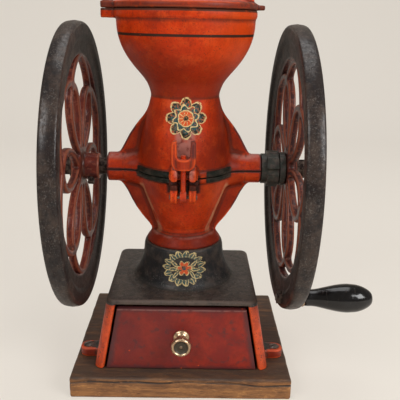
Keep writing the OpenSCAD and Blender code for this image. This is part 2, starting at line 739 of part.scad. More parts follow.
module upper_casing() color(red) translate([0, 0, shaft_z]) difference() {
  union() {
    rotate_extrude($fn = 80) upper_outline();
    for (s = [-1, 1]) intersection() {
      union() {
        plate_xz(s > 0 ? upper_web : mirror_x(upper_web), web_t);
        boss(s);
      }
      half_space(1);
      difference() {
        translate([-200, -200, -200]) cube([400, 400, 400]);
        rotate_extrude() polygon(concat([[0, -1],
          [case_r - case_wall + 0.4, -1]],
          body([[39.6, 11], [38.9, 22], [36.6, 35], [34, 45], [31.4, 55]]),
          [[waist_r - hopper_wall + 0.4, waist_z - 2.6],
          [0, waist_z - 2.6]]));
      }
    }
    // wall over the fixed burr, which keeps beans on the feed side
    intersection() {
      rod_x(part_x - 5, part_x, case_r - 2);
      case_inside();
      half_space(1);
    }
    // ears that the wing nut bears on
    translate([-ear_x - 1.5, -slot_back - 1, 0])
      cube([2 * ear_x + 3, slot_back - case_r + 7.7, flange_t + 1.5]);
    for (s = [-1, 1])
      translate([s * (slot_half + ear_w / 2) - ear_w / 2, -ear_front, 0.6])
        cube([ear_w, ear_front - case_r + 4.2, ear_h - 0.6]);
    // middle knuckle of the rear hinge
    rod_x(-knuckle_half, knuckle_half, knuckle_r, hinge_y);
    translate([-knuckle_half, case_r - 4.2, 0])
      cube([2 * knuckle_half, hinge_y - case_r + 4.2, knuckle_r]);
    // lug under the cover's pivot
    translate([0, 0, hopper_h - 8.3]) {
      translate([-pivot_x, 0, 0]) cylinder(h = 8.3, r = pivot_lug_r);
      translate([-pivot_x, -pivot_lug_r, 0])
        cube([pivot_x - rim_r + 4, 2 * pivot_lug_r, 8.3]);
    }
  }
  rod_x(-boss_end - 1, boss_end + 1, bore_r);
  chamber();
  translate([-slot_half, -ear_front - 5, -1])
    cube([2 * slot_half, ear_front + 5 - slot_back, ear_h + 5]);
  rod_x(-knuckle_half - 1, knuckle_half + 1, hinge_d / 2 + run_fit,
    hinge_y);
  translate([-pivot_x, 0, hopper_h - 9]) cylinder(h = 10,
    r = pivot_d / 2);
}

// ---- clamp ---------------------------------------------------------------

nut_z = shaft_z + ear_h;

// The eye is open below, where it leaves the pin as the hopper tilts
module eye_bolt() color(red) translate([0, -clamp_y, shaft_z])
  difference() {
    union() {
      translate([0, 0, -pin_drop]) {
        cylinder(h = pin_drop + ear_h + nut_hub_h + 3,
          r = clamp_d / 2);
        rod_x(-2.8, 2.8, 5);
      }
    }
    rod_x(-4, 4, pin_d / 2 + 0.4, 0, -pin_drop);
    translate([-4, -pin_d / 2 - 0.6, -pin_drop - 8])
      cube([8, pin_d + 1.2, 8]);
  }

module wing_nut() color(red) translate([0, -clamp_y, nut_z]) difference() {
  intersection() {
    union() {
      cylinder(h = nut_hub_h, r = 7.2);
      // U-shaped body with two upright wings
      difference() {
        plate_xz([[-nut_w / 2 + 6, 0], [nut_w / 2 - 6, 0],
          [nut_w / 2 - 3.2, 1.2], [nut_w / 2 - 1.4, 3.2],
          [nut_w / 2 - 0.3, 6.2], [nut_w / 2, 9.5],
          [nut_w / 2 - 0.2, nut_h - 2], [nut_w / 2 - 1.6, nut_h],
          [-nut_w / 2 + 1.6, nut_h], [-nut_w / 2 + 0.2, nut_h - 2],
          [-nut_w / 2, 9.5], [-nut_w / 2 + 0.3, 6.2],
          [-nut_w / 2 + 1.4, 3.2], [-nut_w / 2 + 3.2, 1.2]], 8.5);
        plate_xz([[-nut_w / 2 + wing_t + 2, nut_hub_h - 1.5],
          [nut_w / 2 - wing_t - 2, nut_hub_h - 1.5],
          [nut_w / 2 - wing_t, nut_hub_h + 1.5],
          [nut_w / 2 - wing_t + 0.6, nut_h + 1],
          [-nut_w / 2 + wing_t - 0.6, nut_h + 1],
          [-nut_w / 2 + wing_t, nut_hub_h + 1.5]], 20);
      }
    }
    cylinder(h = nut_h, r = nut_w / 2 + 0.4);
  }
  translate([0, 0, -1]) cylinder(h = nut_h + 2,
    r = clamp_d / 2 + run_fit);
}

// ---- cover ---------------------------------------------------------------

cover_z = rim_z + flat_gap;

module hopper_cover() color(red) translate([0, 0, cover_z]) difference() {
  union() {
    rotate_extrude() polygon([
      [rim_r - 6.5, 0], [rim_r - 0.4, 0], [rim_r, 0.8],
      [rim_r, cover_ring_t - 2.2], [rim_r - 1, cover_ring_t - 0.6],
      [rim_r - 3, cover_ring_t], [rim_r - 8, cover_ring_t + 0.4],
      [rim_r - 12, cover_ring_t + cover_rise * 0.12],
      [rim_r - 19, cover_ring_t + cover_rise * 0.42],
      [rim_r - 28, cover_ring_t + cover_rise * 0.7],
      [rim_r - 39, cover_ring_t + cover_rise * 0.88],
      [rim_r - 52, cover_ring_t + cover_rise * 0.98],
      [0, cover_ring_t + cover_rise],
      [0, cover_ring_t + cover_rise - cover_wall],
      [rim_r - 52, cover_ring_t + cover_rise * 0.98 - cover_wall],
      [rim_r - 39.6, cover_ring_t + cover_rise * 0.88 - cover_wall],
      [rim_r - 29.2, cover_ring_t + cover_rise * 0.7 - cover_wall],
      [rim_r - 20.6, cover_ring_t + cover_rise * 0.42 - cover_wall],
      [rim_r - 14, cover_ring_t + cover_rise * 0.12 - cover_wall],
      [rim_r - 10, cover_ring_t - cover_wall]]);
    // pivot lug, tab to swing the cover by and thumb lug
    translate([-pivot_x, 0, 0]) cylinder(h = cover_ring_t,
      r = pivot_lug_r);
    translate([-pivot_x, -pivot_lug_r, 0])
      cube([pivot_x - rim_r + 5, 2 * pivot_lug_r, cover_ring_t]);
    translate([rim_r - 4, -6, 0]) cube([9, 12, 4.4]);
    translate([rim_r + 5, 0, 0]) cylinder(h = 4.4, r = 2);
    translate([thumb_x - thumb_w / 2, -2.4, cover_ring_t - 2])
      cube([thumb_w, 4.8, thumb_h + 2]);
    translate([thumb_x, 2.4, cover_ring_t + thumb_h]) rotate([90, 0, 0])
      cylinder(h = 4.8, r = thumb_w / 2);
  }
  translate([-pivot_x, 0, -1]) cylinder(h = cover_ring_t + 2,
    r = pivot_d / 2 + run_fit);
}

module pivot_screw() color(steel)
  translate([-pivot_x, 0, cover_z + cover_ring_t])
    slotted_screw(pivot_d - 2 * run_fit, cover_ring_t + 8, 10, 2.8);

// ---- shaft and wheels ----------------------------------------------------

module main_shaft() color(steel) difference() {
  union() {
    rod_x(-hub_out_x, hub_out_x, shaft_r, 0, shaft_z);
    for (s = [-1, 1]) rod_x(s > 0 ? hub_out_x - eps : -hub_out_x - 13,
      s > 0 ? hub_out_x + 13 : -hub_out_x + eps, shaft_r - 2.5, 0,
      shaft_z);
  }
  // keyway of the turning burr
  translate([burr2_x - 1, -2, shaft_z + shaft_r - 2])
    cube([burr_t + 12, 4, 4]);
}

// Petal outline pointing up from the hub, drawn in by inset
module petal(inset) {
  a = tip_r - wide_r - inset * 1.3;
  b = wide_r - hub_r + 2 - inset * 1.6;
  w = petal_w - inset;
  ra = (a * a + w * w) / (2 * w);
  rb = (b * b + w * w) / (2 * w);
  translate([0, wide_r]) union() {
    intersection() {
      translate([ra - w, 0]) circle(r = ra);
      translate([w - ra, 0]) circle(r = ra);
      translate([-60, 0]) square([120, 90]);
    }
    intersection() {
      translate([rb - w, 0]) circle(r = rb);
      translate([w - rb, 0]) circle(r = rb);
      translate([-60, -90]) square([120, 90]);
    }
  }
}

// Curved rib from a petal's tip to the rim, half way to the next petal
module arch_rib() {
  t = [0, tip_r - 2];
  e = [rim_in * sin(30), rim_in * cos(30) + 1];
  m = (t + e) / 2;
  c = norm(e - t) / 2;
  u = (e - t) / norm(e - t);
  rho = 62;
  o = m + sqrt(rho * rho - c * c) * [u[1], -u[0]];
  intersection() {
    difference() {
      translate(o) circle(r = rho + rib_w / 2);
      translate(o) circle(r = rho - rib_w / 2);
    }
    polygon([[-2.4, tip_r - 12], [-2.4, wheel_r - 12],
      [(wheel_r - 6) * sin(31), (wheel_r - 6) * cos(31)],
      [(tip_r - 4) * sin(31), (tip_r - 4) * cos(31)]]);
  }
}

// Wheel lying in the X-Y plane, its spokes' first petal along +Y
module wheel_blank(hub0, hub1) {
  h = tread_w / 2;
  rotate_extrude($fn = 180) polygon([
    [wheel_r, -h + 2], [wheel_r, h - 2], [wheel_r - 0.6, h - 0.7],
    [wheel_r - 1.8, h], [wheel_r - 12, h], [wheel_r - 15, h - 1.2],
    [wheel_r - 18, h - 3], [rim_in + 3, h - 3.4], [rim_in, h - 4.6],
    [rim_in, -h + 4.6], [rim_in + 3, -h + 3.4], [wheel_r - 18, -h + 3],
    [wheel_r - 15, -h + 1.2], [wheel_r - 12, -h], [wheel_r - 1.8, -h],
    [wheel_r - 0.6, -h + 0.7]]);
  translate([0, 0, -spoke_t / 2]) linear_extrude(height = spoke_t)
    difference() {
      union() {
        for (i = [0:5]) rotate([0, 0, 60 * i]) {
          petal(0);
          arch_rib();
          mirror([1, 0]) arch_rib();
        }
        circle(r = hub_r + 6);
      }
      for (i = [0:5]) rotate([0, 0, 60 * i]) petal(rib_w);
    }
  translate([0, 0, hub0]) cylinder(h = hub1 - hub0, r = hub_r);
}

module left_wheel() color(dark_red)
  translate([-wheel_x, 0, shaft_z]) difference() {
    rotate([left_turn, 0, 0]) rotate([90, 0, 0]) rotate([0, 90, 0])
      wheel_blank(-hub_out_x + wheel_x, wheel_x - hub_in_x);
    rod_x(-30, 40, bore_r);
    translate([wheel_x - hub_in_x - 8, 0, 0]) rotate([145, 0, 0])
      cylinder(h = 20, r = grub_d / 2);
  }

module right_wheel() color(dark_red)
  translate([wheel_x, 0, shaft_z]) difference() {
    union() {
      rotate([right_turn, 0, 0]) rotate([90, 0, 0]) rotate([0, 90, 0])
        wheel_blank(wheel_hub_x - wheel_x, hub_out_x - wheel_x);
      // boss for the handle's bolt
      rod_x(-tread_w / 2 + 3, tread_w / 2 + 2, 10, handle_y,
        handle_z - shaft_z);
    }
    rod_x(-30, 40, bore_r);
    rod_x(-30, 40, bolt_d / 2, handle_y, handle_z - shaft_z);
    rotate([right_turn + 90, 0, 0]) cylinder(h = 22, r = grub_d / 2);
  }

// Square-headed screw in the left hub, slotted screw sunk in the right one
module hub_set_screws() color(steel) translate([0, 0, shaft_z]) {
  translate([-hub_in_x - 8, 0, 0]) rotate([145, 0, 0]) {
    translate([0, 0, shaft_r]) cylinder(h = hub_r - shaft_r + 1,
      r = grub_d / 2 - run_fit);
    translate([0, 0, hub_r + 3]) cube([5.5, 5.5, 5], center = true);
  }
  translate([wheel_x, 0, 0]) rotate([right_turn + 90, 0, 0])
    difference() {
      translate([0, 0, shaft_r]) cylinder(h = hub_r - shaft_r + 4.5,
        r = grub_d / 2 - run_fit);
      translate([-4, -0.4, hub_r + 3]) cube([8, 0.8, 3]);
    }
}

module end_washers() color(steel) for (s = [-1, 1]) difference() {
  rod_x(s * (hub_out_x + 1) - 1, s * (hub_out_x + 1) + 1, hub_r - 1,
    0, shaft_z);
  rod_x(s * (hub_out_x + 1) - 2, s * (hub_out_x + 1) + 2, shaft_r - 2.5
    + run_fit, 0, shaft_z);
}

module end_nuts() color(steel) for (s = [-1, 1]) difference() {
  along_x(s * (hub_out_x + 6) - 4, 0, shaft_z)
    rotate([0, 0, 15]) cylinder(h = 8, r = 10.4, $fn = 6);
  rod_x(s * (hub_out_x + 6) - 5, s * (hub_out_x + 6) + 5,
    shaft_r - 2.5 + run_fit, 0, shaft_z);
}

// Round nut with six notches, which sets how fine the mill grinds
module adjusting_nut() color(black) translate([0, 0, shaft_z])
  difference() {
    union() {
      rod_x(adjust_x, adjust_x + adjust_l, adjust_r - 3);
      difference() {
        rod_x(adjust_x + 5.2, adjust_x + adjust_l - 0.6, adjust_r);
        for (i = [0:5]) rotate([60 * i + 30, 0, 0])
          rod_x(adjust_x - 1, adjust_x + adjust_l + 1, 4.2, 0,
            adjust_r + 1.6);
      }
    }
    rod_x(adjust_x - 1, adjust_x + adjust_l + 1, bore_r);
  }

// Ring pinned to the shaft, which the adjusting nut bears on
module lock_ring() color(black) translate([0, 0, shaft_z]) difference() {
  rod_x(lock_x, lock_x + lock_l, lock_r);
  rod_x(lock_x - 1, lock_x + lock_l + 1, bore_r);
}

// ---- grinding parts ------------------------------------------------------

module burr(x0, x1, face_x, r_in) difference() {
  rod_x(x0, x1, burr_r);
  rod_x(x0 - 1, x1 + 1, r_in);
  for (i = [0:burr_teeth - 1]) rotate([360 / burr_teeth * i, 0, 0])
    translate([face_x - 1.4, -0.9, r_in + 2.5])
      cube([2.8, 1.8, burr_r]);
}

module fixed_burr() color(white_iron) translate([0, 0, shaft_z])
  difference() {
    burr(part_x, part_x + burr_t, part_x + burr_t, screw_r + 1.2);
    for (a = [-50, -130]) along_x(part_x - 1,
      burr_bolt_r * cos(a), burr_bolt_r * sin(a))
        cylinder(h = burr_t - 2, r = 2);
  }

module burr_screws() color(steel) translate([0, 0, shaft_z])
  for (a = [-50, -130]) along_x(part_x - 5,
    burr_bolt_r * cos(a), burr_bolt_r * sin(a)) mirror([0, 0, 1])
      slotted_screw(4 - 2 * run_fit, burr_t + 2, 6, 1.6);

module turning_burr() color(white_iron) translate([0, 0, shaft_z])
  difference() {
    union() {
      burr(burr2_x, burr2_x + burr_t, burr2_x, shaft_r + run_fit);
      difference() {
        rod_x(burr2_x + burr_t - eps, burr2_x + burr_t + 7, 13);
        rod_x(burr2_x, burr2_x + burr_t + 8, shaft_r + run_fit);
      }
    }
    translate([burr2_x - 1, -2, 0]) cube([burr_t + 9, 4, shaft_r + 2.2]);
  }

module burr_key() color(steel)
  translate([burr2_x, -1.95, shaft_z + shaft_r - 2 + eps])
    cube([burr_t + 7, 3.9, 4]);

// Feed screw: two turns of a flight round a sleeve
module feed_screw() color(iron) translate([0, 0, shaft_z]) difference() {
  union() {
    rod_x(screw_x, part_x + burr_t - 2, shaft_r + 1.6);
    along_x(screw_x) linear_extrude(height = part_x - 1 - screw_x,
      twist = -720, slices = 36,
      $fn = 24) translate([4, 0]) circle(r = screw_r - 4);
  }
  rod_x(-40, 30, shaft_r + run_fit);
}

// ---- handle --------------------------------------------------------------

module at_handle(x) along_x(x, handle_y, handle_z) children();

// Threaded through the wheel's rim, with its head sunk in the grip's end
module handle_bolt() color(steel) {
  x0 = wheel_x - tread_w / 2 - 6;
  x1 = grip_x + grip_l - 4;
  at_handle(x0) cylinder(h = x1 - x0, r = bolt_d / 2 - run_fit);
  at_handle(x1 - 0.01) difference() {
    cylinder(h = 3, r = bolt_d / 2 + 1.2);
    translate([-8, -0.5, 1.8]) cube([16, 1, 3]);
  }
}

module handle_nut() color(steel) at_handle(wheel_x - tread_w / 2 - 5)
  difference() {
    cylinder(h = 5, r = 6.6, $fn = 6);
    translate([0, 0, -1]) cylinder(h = 7, r = bolt_d / 2);
  }

module handle_ferrule() color(brass)
  at_handle(wheel_x + tread_w / 2 + 2) difference() {
    cylinder(h = 3.6, r = neck_r + 0.6);
    translate([0, 0, -1]) cylinder(h = 6, r = bolt_d / 2 + run_fit);
  }

module handle_grip() color(black_wood) at_handle(grip_x)
  difference() {
    rotate_extrude() polygon([[0, 0], [neck_r - 0.4, 0], [neck_r, 1],
      [neck_r, grip_l * 0.1], [neck_r + 0.9, grip_l * 0.2],
      [neck_r + (grip_r - neck_r) * 0.45, grip_l * 0.32],
      [neck_r + (grip_r - neck_r) * 0.7, grip_l * 0.42],
      [neck_r + (grip_r - neck_r) * 0.9, grip_l * 0.52],
      [grip_r, grip_l * 0.62], [grip_r - 0.2, grip_l * 0.69],
      [grip_r * 0.92, grip_l * 0.77], [grip_r * 0.76, grip_l * 0.855],
      [grip_r * 0.56, grip_l * 0.94], [grip_r * 0.4, grip_l * 0.985],
      [0, grip_l]]);
    translate([0, 0, -1]) cylinder(h = grip_l + 2,
      r = bolt_d / 2 + run_fit);
    translate([0, 0, grip_l - 4 - flat_gap]) cylinder(h = 6,
      r = bolt_d / 2 + 1.2 + run_fit);
  }

// ---- the nodes -----------------------------------------------------------

base_board();
base_casting();
base_screws();
foot_screws();
drawer_front();
drawer_tray();
tray_screws();
drawer_knob();
knob_screw();
lower_casing();
hinge_pin();
clamp_pin();
upper_casing();
eye_bolt();
wing_nut();
hopper_cover();
pivot_screw();
main_shaft();
left_wheel();
right_wheel();
hub_set_screws();
end_washers();
end_nuts();
adjusting_nut();
lock_ring();
fixed_burr();
burr_screws();
turning_burr();
burr_key();
feed_screw();
handle_bolt();
handle_nut();
handle_ferrule();
handle_grip();
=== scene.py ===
"""Two-wheel counter coffee mill: its finished castings, woodwork, paint and
stage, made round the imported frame. Lengths in the shape functions are in
millimetres, and casting heights are counted from the shaft's line."""
import json
import math

import bmesh
import bpy
import numpy as np
from mathutils import Matrix, Vector


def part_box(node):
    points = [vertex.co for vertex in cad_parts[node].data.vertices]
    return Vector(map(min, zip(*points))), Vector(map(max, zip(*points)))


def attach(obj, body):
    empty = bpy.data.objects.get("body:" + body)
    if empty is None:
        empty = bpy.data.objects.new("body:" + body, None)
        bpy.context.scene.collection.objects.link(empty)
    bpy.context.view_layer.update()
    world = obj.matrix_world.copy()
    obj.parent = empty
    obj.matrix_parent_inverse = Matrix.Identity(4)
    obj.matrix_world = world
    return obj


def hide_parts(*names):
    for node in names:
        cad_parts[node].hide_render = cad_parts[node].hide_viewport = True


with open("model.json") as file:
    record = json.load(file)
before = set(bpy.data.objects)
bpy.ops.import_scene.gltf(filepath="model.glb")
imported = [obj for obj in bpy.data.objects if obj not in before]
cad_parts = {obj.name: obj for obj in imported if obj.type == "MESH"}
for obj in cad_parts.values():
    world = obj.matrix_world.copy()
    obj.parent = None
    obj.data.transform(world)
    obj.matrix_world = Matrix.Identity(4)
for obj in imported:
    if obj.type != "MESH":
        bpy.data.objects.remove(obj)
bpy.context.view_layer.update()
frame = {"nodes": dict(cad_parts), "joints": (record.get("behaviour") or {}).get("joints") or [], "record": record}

bl_info = {
    "name": "Two-Wheel Coffee Mill",
    "version": (1, 0, 0),
    "blender": (4, 5, 0),
    "location": "3D View > Sidebar > Mill",
    "description": "Builds the finished look of a two-wheel counter coffee mill",
    "category": "Object",
}

MM = 0.001
# Near black, also painted as shadow behind the clamp's ears and as a shade line in the step of the rims' faces
BLACKENED = (0.012, 0.008, 0.006, 1)
FLOOR_SHADE = (0.66, 0.62, 0.56, 1)

TABLE_STEP, BEND_REACH, QUICK_COARSER = 0.4, 1.6, 1.8

# Merging distances, in metres, and the angles of flat and of sharp edges
WELD_DISTANCE, DOUBLE_DISTANCE = 0.00001, 0.000004
FLAT_ANGLE, SHARP_ANGLE = math.radians(0.6), math.radians(34)

# Heights of the paint's line and ornaments over the shaft
STRIPE_Z, MEDALLION_Z, CARTOUCHE_Z = 125.8, 53.5, -90

# Stage, in metres: the floor's first, last and count of points each way, where
# its backdrop starts to rise, over what depth and how far, and the light
FLOOR_DEPTH, FLOOR_WIDTH = (-7.6, 2.6, 80), (-9, 9, 9)
SWEEP_START, SWEEP_DEPTH, SWEEP_RISE = 1.2, 1.4, 2.6
WORLD_LIGHT, WORLD_SEEN, FLOOR_GLOW, GLOW_SHARE = 0.32, 0.86, 1.14, 0.6
LAMP_TARGET = (0, 0, 0.18)
LAMPS = (  # name, place, size, power
    ("Key", (-0.95, -1.1, 1.25), 0.8, 13.5),
    ("Fill", (1.15, -0.95, 0.95), 0.8, 18),
    ("Top", (0.1, 0.35, 1.6), 1.0, 8),
)

# Camera: place, turn in degrees (yaw, pitch, roll), sensor and lens
CAMERA_PLACE, CAMERA_TURN = (0.0086, -0.568, 0.3392), (-0.74, 16.83, 1.1)
CAMERA_SENSOR, CAMERA_LENS = 36, 53.46


def joint_place(name):
    """A joint's place in millimetres."""
    found = [j for j in frame["joints"] if j["name"] == name][0]
    return [v / MM for v in found["pos_m"]]


SHAFT_Z = joint_place("shaft_turn")[2]
GRIP_Y, GRIP_Z = joint_place("grip_turn")[1:]


def node_box(node):
    """Lowest and highest corner of a CAD node, in millimetres."""
    lo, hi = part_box(node)
    return np.array(lo) / MM, np.array(hi) / MM


# ---- fields: signed distances on a lattice ----------------------------------


def lattice(lo, hi, step):
    """Open X, Y and Z arrays of the sample points in a box, step apart."""
    axes = [np.arange(a, b + step, step) for a, b in zip(lo, hi)]
    return (
        axes[0][:, None, None],
        axes[1][None, :, None],
        axes[2][None, None, :],
    )


def join(a, b, soft):
    """Union of two fields: their minimum, drawn together by a quadratic fillet
    over the distance soft."""
    if not soft:
        return np.minimum(a, b)
    share = np.clip(0.5 + 0.5 * (b - a) / soft, 0, 1)
    return b + (a - b) * share - soft * share * (1 - share)


def meet(a, b, soft=0.0):
    """Intersection: the union of the complements, turned inside out."""
    return -join(-a, -b, soft)


def cut(a, b, soft):
    """a without b."""
    return meet(a, -b, soft)


def rounded(u, v, edge):
    """Intersection of two perpendicular fields with a round edge: distance to
    the corner of their quadrants, less the radius."""
    u, v = u + edge, v + edge
    return (
        np.hypot(np.maximum(u, 0), np.maximum(v, 0))
        + np.minimum(np.maximum(u, v), 0)
        - edge
    )


def block(P, lo, hi, edge):
    """Box from lo to hi: distance outside its faces, edges rounded by edge."""
    q = [
        abs(c - (a + b) / 2) - (b - a) / 2 + edge
        for c, a, b in zip(P, lo, hi)
    ]
    out = np.sqrt(sum(np.maximum(d, 0) ** 2 for d in q))
    return out + np.minimum(np.maximum(np.maximum(q[0], q[1]), q[2]), 0) - edge


def rod(A, B, C, a0, a1, radius, edge=0.0):
    """Round bar along A from a0 to a1 about B = C = 0."""
    return rounded(
        np.hypot(B, C) - radius, abs(A - (a0 + a1) / 2) - (a1 - a0) / 2, edge
    )


def polygon(U, V, points):
    """Distance to a closed outline in a plane: the least distance to its
    sides, negative where a ray crosses them an odd number of times."""
    points = np.asarray(points, float)
    best, inside = np.inf, False
    for (x0, y0), (x1, y1) in zip(points, np.roll(points, -1, 0)):
        ex, ey = x1 - x0, y1 - y0
        if ex * ex + ey * ey < 1e-12:
            continue
        t = np.clip(((U - x0) * ex + (V - y0) * ey) / (ex * ex + ey * ey), 0, 1)
        best = np.minimum(best, (U - x0 - t * ex) ** 2 + (V - y0 - t * ey) ** 2)
        if ey:
            inside = inside ^ (
                ((y0 > V) != (y1 > V)) & (U < ex * (V - y0) / ey + x0)
            )
    return np.where(inside, -1.0, 1.0) * np.sqrt(best)


def turned(P, points):
    """Solid of revolution about Z: the outline's distance in a table of radius
    by height, read at each sample's radius."""
    radius = np.hypot(P[0], P[1])[:, :, 0]
    rows = np.arange(0, radius.max() + 2 * TABLE_STEP, TABLE_STEP)
    table = polygon(rows[:, None], P[2][0], points)
    at = (radius / TABLE_STEP).astype(int)
    share = (radius / TABLE_STEP - at)[..., None]
    return table[at] * (1 - share) + table[at + 1] * share


def slab(plane, across, half, edge):
    """Flat plate: an outline's field carried half to each side."""
    return rounded(plane, abs(across) - half, edge)


def curve(points, count):
    """Smooth line through points: each span is a Catmull-Rom cubic of its four
    neighbours, count steps long."""
    p = np.asarray(points, float)
    p = np.vstack([2 * p[0] - p[1], p, 2 * p[-1] - p[-2]])
    a, b, c, d = (p[i : len(p) - 3 + i, None, :] for i in range(4))
    t = (np.arange(count) / count)[None, :, None]
    line = 0.5 * (
        2 * b
        + (c - a) * t
        + (2 * a - 5 * b + 4 * c - d) * t**2
        + (3 * b - 3 * c + d - a) * t**3
    )
    return np.vstack([line.reshape(-1, p.shape[1]), p[-2]])


CORNERS = np.array(
    [(i, j, k) for i in (0, 1) for j in (0, 1) for k in (0, 1)]
)
SIDES = [
    (a, b)
    for a in range(8)
    for b in range(a + 1, 8)
    if np.abs(CORNERS[a] - CORNERS[b]).sum() == 1
]


def sample(field, at):
    """Trilinear value and slope of a field at places counted in steps."""
    cell = np.clip(np.floor(at).astype(int), 0, np.array(field.shape) - 2)
    f = at - cell
    value, slope = 0.0, np.zeros_like(f)
    for corner in CORNERS:
        c = field[tuple((cell + corner).T)]
        w = np.where(corner, f, 1 - f)
        value = value + c * w.prod(1)
        for axis in range(3):
            rest = np.delete(w, axis, 1).prod(1)
            slope[:, axis] += c * rest * (1 if corner[axis] else -1)
    return value, slope


def skin(field, P, step):
    """Surface nets: a vertex in each cell that the zero level crosses, at the
    mean of the crossings on its sides, and a quad round each crossed lattice
    line; two Newton steps bring the vertices to the level. Returns vertices,
    quads and the bend of the surface, which is high on ridges."""
    inside = field < 0
    n = np.array(field.shape)
    total = sum(
        inside[tuple(slice(c, m - 1 + c) for c, m in zip(corner, n))].astype(
            np.uint8
        )
        for corner in CORNERS
    )
    crossed = (total > 0) & (total < 8)
    cells = np.argwhere(crossed)
    values = np.stack([field[tuple((cells + c).T)] for c in CORNERS], 1)
    where, hits = np.zeros(cells.shape), np.zeros(len(cells))
    for a, b in SIDES:
        fa, fb = values[:, a], values[:, b]
        hit = (fa < 0) != (fb < 0)
        t = np.where(hit, fa / np.where(hit, fa - fb, 1), 0)[:, None]
        where += hit[:, None] * (CORNERS[a] + t * (CORNERS[b] - CORNERS[a]))
        hits += hit
    at = cells + where / hits[:, None]
    for _ in range(2):
        value, slope = sample(field, at)
        move = slope * (value / np.maximum((slope**2).sum(1), 1e-9))[:, None]
        at = at - np.clip(move, -0.4, 0.4)
    number = np.full(crossed.shape, -1)
    number[crossed] = np.arange(len(cells))
    quads = []
    for axis in range(3):
        u, v = (axis + 1) % 3, (axis + 2) % 3
        one = [slice(1, m - 1) for m in n]
        one[axis] = slice(0, n[axis] - 1)
        two = list(one)
        two[axis] = slice(1, n[axis])
        here, there = inside[tuple(one)], inside[tuple(two)]
        line = np.argwhere(here != there)
        low = here[tuple(line.T)]
        line[:, u] += 1
        line[:, v] += 1
        ring = []
        for du, dv in ((1, 1), (0, 1), (0, 0), (1, 0)):
            c = line.copy()
            c[:, u] -= du
            c[:, v] -= dv
            ring.append(number[tuple(c.T)])
        ring = np.stack(ring, 1)
        quads.append(np.where(low[:, None], ring, ring[:, ::-1]))
    reach = BEND_REACH / step
    bend = -6 * sample(field, at)[0]
    for axis in range(3):
        for side in (-reach, reach):
            bend = bend + sample(field, at + side * np.eye(3)[axis])[0]
    start = np.array([P[0][0, 0, 0], P[1][0, 0, 0], P[2][0, 0, 0]])
    return start + at * step, np.vstack(quads), bend / BEND_REACH**2


# ---- surfaces on a grid -----------------------------------------------------


def grid_faces(rows, columns, wrap_rows=False, wrap_columns=True):
    """Quads of a grid of points; the last row or column joins the first where
    it wraps."""
    r = np.arange(rows if wrap_rows else rows - 1)
    c = np.arange(columns if wrap_columns else columns - 1)
    r, c = (a.ravel() for a in np.meshgrid(r, c, indexing="ij"))
    r1, c1 = (r + 1) % rows, (c + 1) % columns
    return np.stack(
        [r * columns + c, r * columns + c1, r1 * columns + c1, r1 * columns + c], 1
    )


def lathe(profile, turns, axis, centre=(0, 0, 0)):
    """Turned shape: each point (radius, height) of the profile goes round the
    axis. A profile that starts or ends on the axis closes in a pole, and any
    other joins its ends. Heights rise and the profile runs up its outside."""
    profile = np.asarray(profile, float)
    low, high = profile[0, 0] < 1e-6, profile[-1, 0] < 1e-6
    body = profile[(1 if low else 0) : (len(profile) - 1 if high else None)]
    a = np.arange(turns) * 2 * math.pi / turns
    ring = np.stack(
        [
            body[:, :1] * np.cos(a),
            body[:, :1] * np.sin(a),
            np.repeat(body[:, 1:], turns, 1),
        ],
        2,
    ).reshape(-1, 3)
    faces = [tuple(f) for f in grid_faces(len(body), turns, not (low or high))]
    points = [ring]
    if low:
        points.append([[0, 0, profile[0, 1]]])
        pole = len(ring)
        faces += [(pole, (i + 1) % turns, i) for i in range(turns)]
    if high:
        points.append([[0, 0, profile[-1, 1]]])
        pole = len(ring) + int(low)
        last = (len(body) - 1) * turns
        faces += [(pole, last + i, last + (i + 1) % turns) for i in range(turns)]
    points = np.vstack(points)
    turn = {2: (0, 1, 2), 0: (2, 0, 1), 1: (1, 2, 0)}[axis]
    return points[:, turn] + np.asarray(centre, float), faces


def soft_corners(points, radius, steps=5):
    """Open outline whose inner corners are replaced by quadratic arcs that
    start radius before each corner, or half a side where that is shorter."""
    p = np.asarray(points, float)
    r = np.broadcast_to(radius, len(p))
    t = np.linspace(0, 1, steps)[:, None]
    out = [p[:1]]
    for before, here, after, reach in zip(p[:-2], p[1:-1], p[2:], r[1:-1]):
        a, b = before - here, after - here
        la, lb = np.linalg.norm(a), np.linalg.norm(b)
        a = here + a / la * min(reach, la * 0.48)
        b = here + b / lb * min(reach, lb * 0.48)
        out.append((1 - t) ** 2 * a + 2 * t * (1 - t) * here + t**2 * b)
    return np.vstack(out + [p[-1:]])


def soft_block(lo, hi, edge, steps, arc=4):
    """Closed box with round edges: the points of a divided box are clamped to
    a core box smaller by edge, and pushed out from it by edge. Its faces'
    borders are doubled, so the piece is welded."""
    lo, hi = np.asarray(lo, float), np.asarray(hi, float)
    axes = []
    for a, b, step in zip(lo, hi, steps):
        inner = np.linspace(a + edge, b - edge, max(2, int((b - a) / step)))
        fine = edge * (1 - np.cos(np.linspace(0, math.pi / 2, arc + 1)[:-1]))
        axes.append(np.concatenate([a + fine, inner, b - fine[::-1]]))
    points, faces, start = [], [], 0
    for axis in range(3):
        u, v = (axis + 1) % 3, (axis + 2) % 3
        U, V = np.meshgrid(axes[u], axes[v], indexing="ij")
        for end, value in ((0, lo[axis]), (1, hi[axis])):
            p = np.empty(U.shape + (3,))
            p[..., axis], p[..., u], p[..., v] = value, U, V
            points.append(p.reshape(-1, 3))
            f = grid_faces(*U.shape, wrap_columns=False) + start
            faces.append(f if not end else f[:, ::-1])
            start += U.size
    p = np.vstack(points)
    core = np.clip(p, lo + edge, hi - edge)
    away = p - core
    away /= np.maximum(np.linalg.norm(away, axis=1, keepdims=True), 1e-9)
    return core + away * edge, np.vstack(faces)


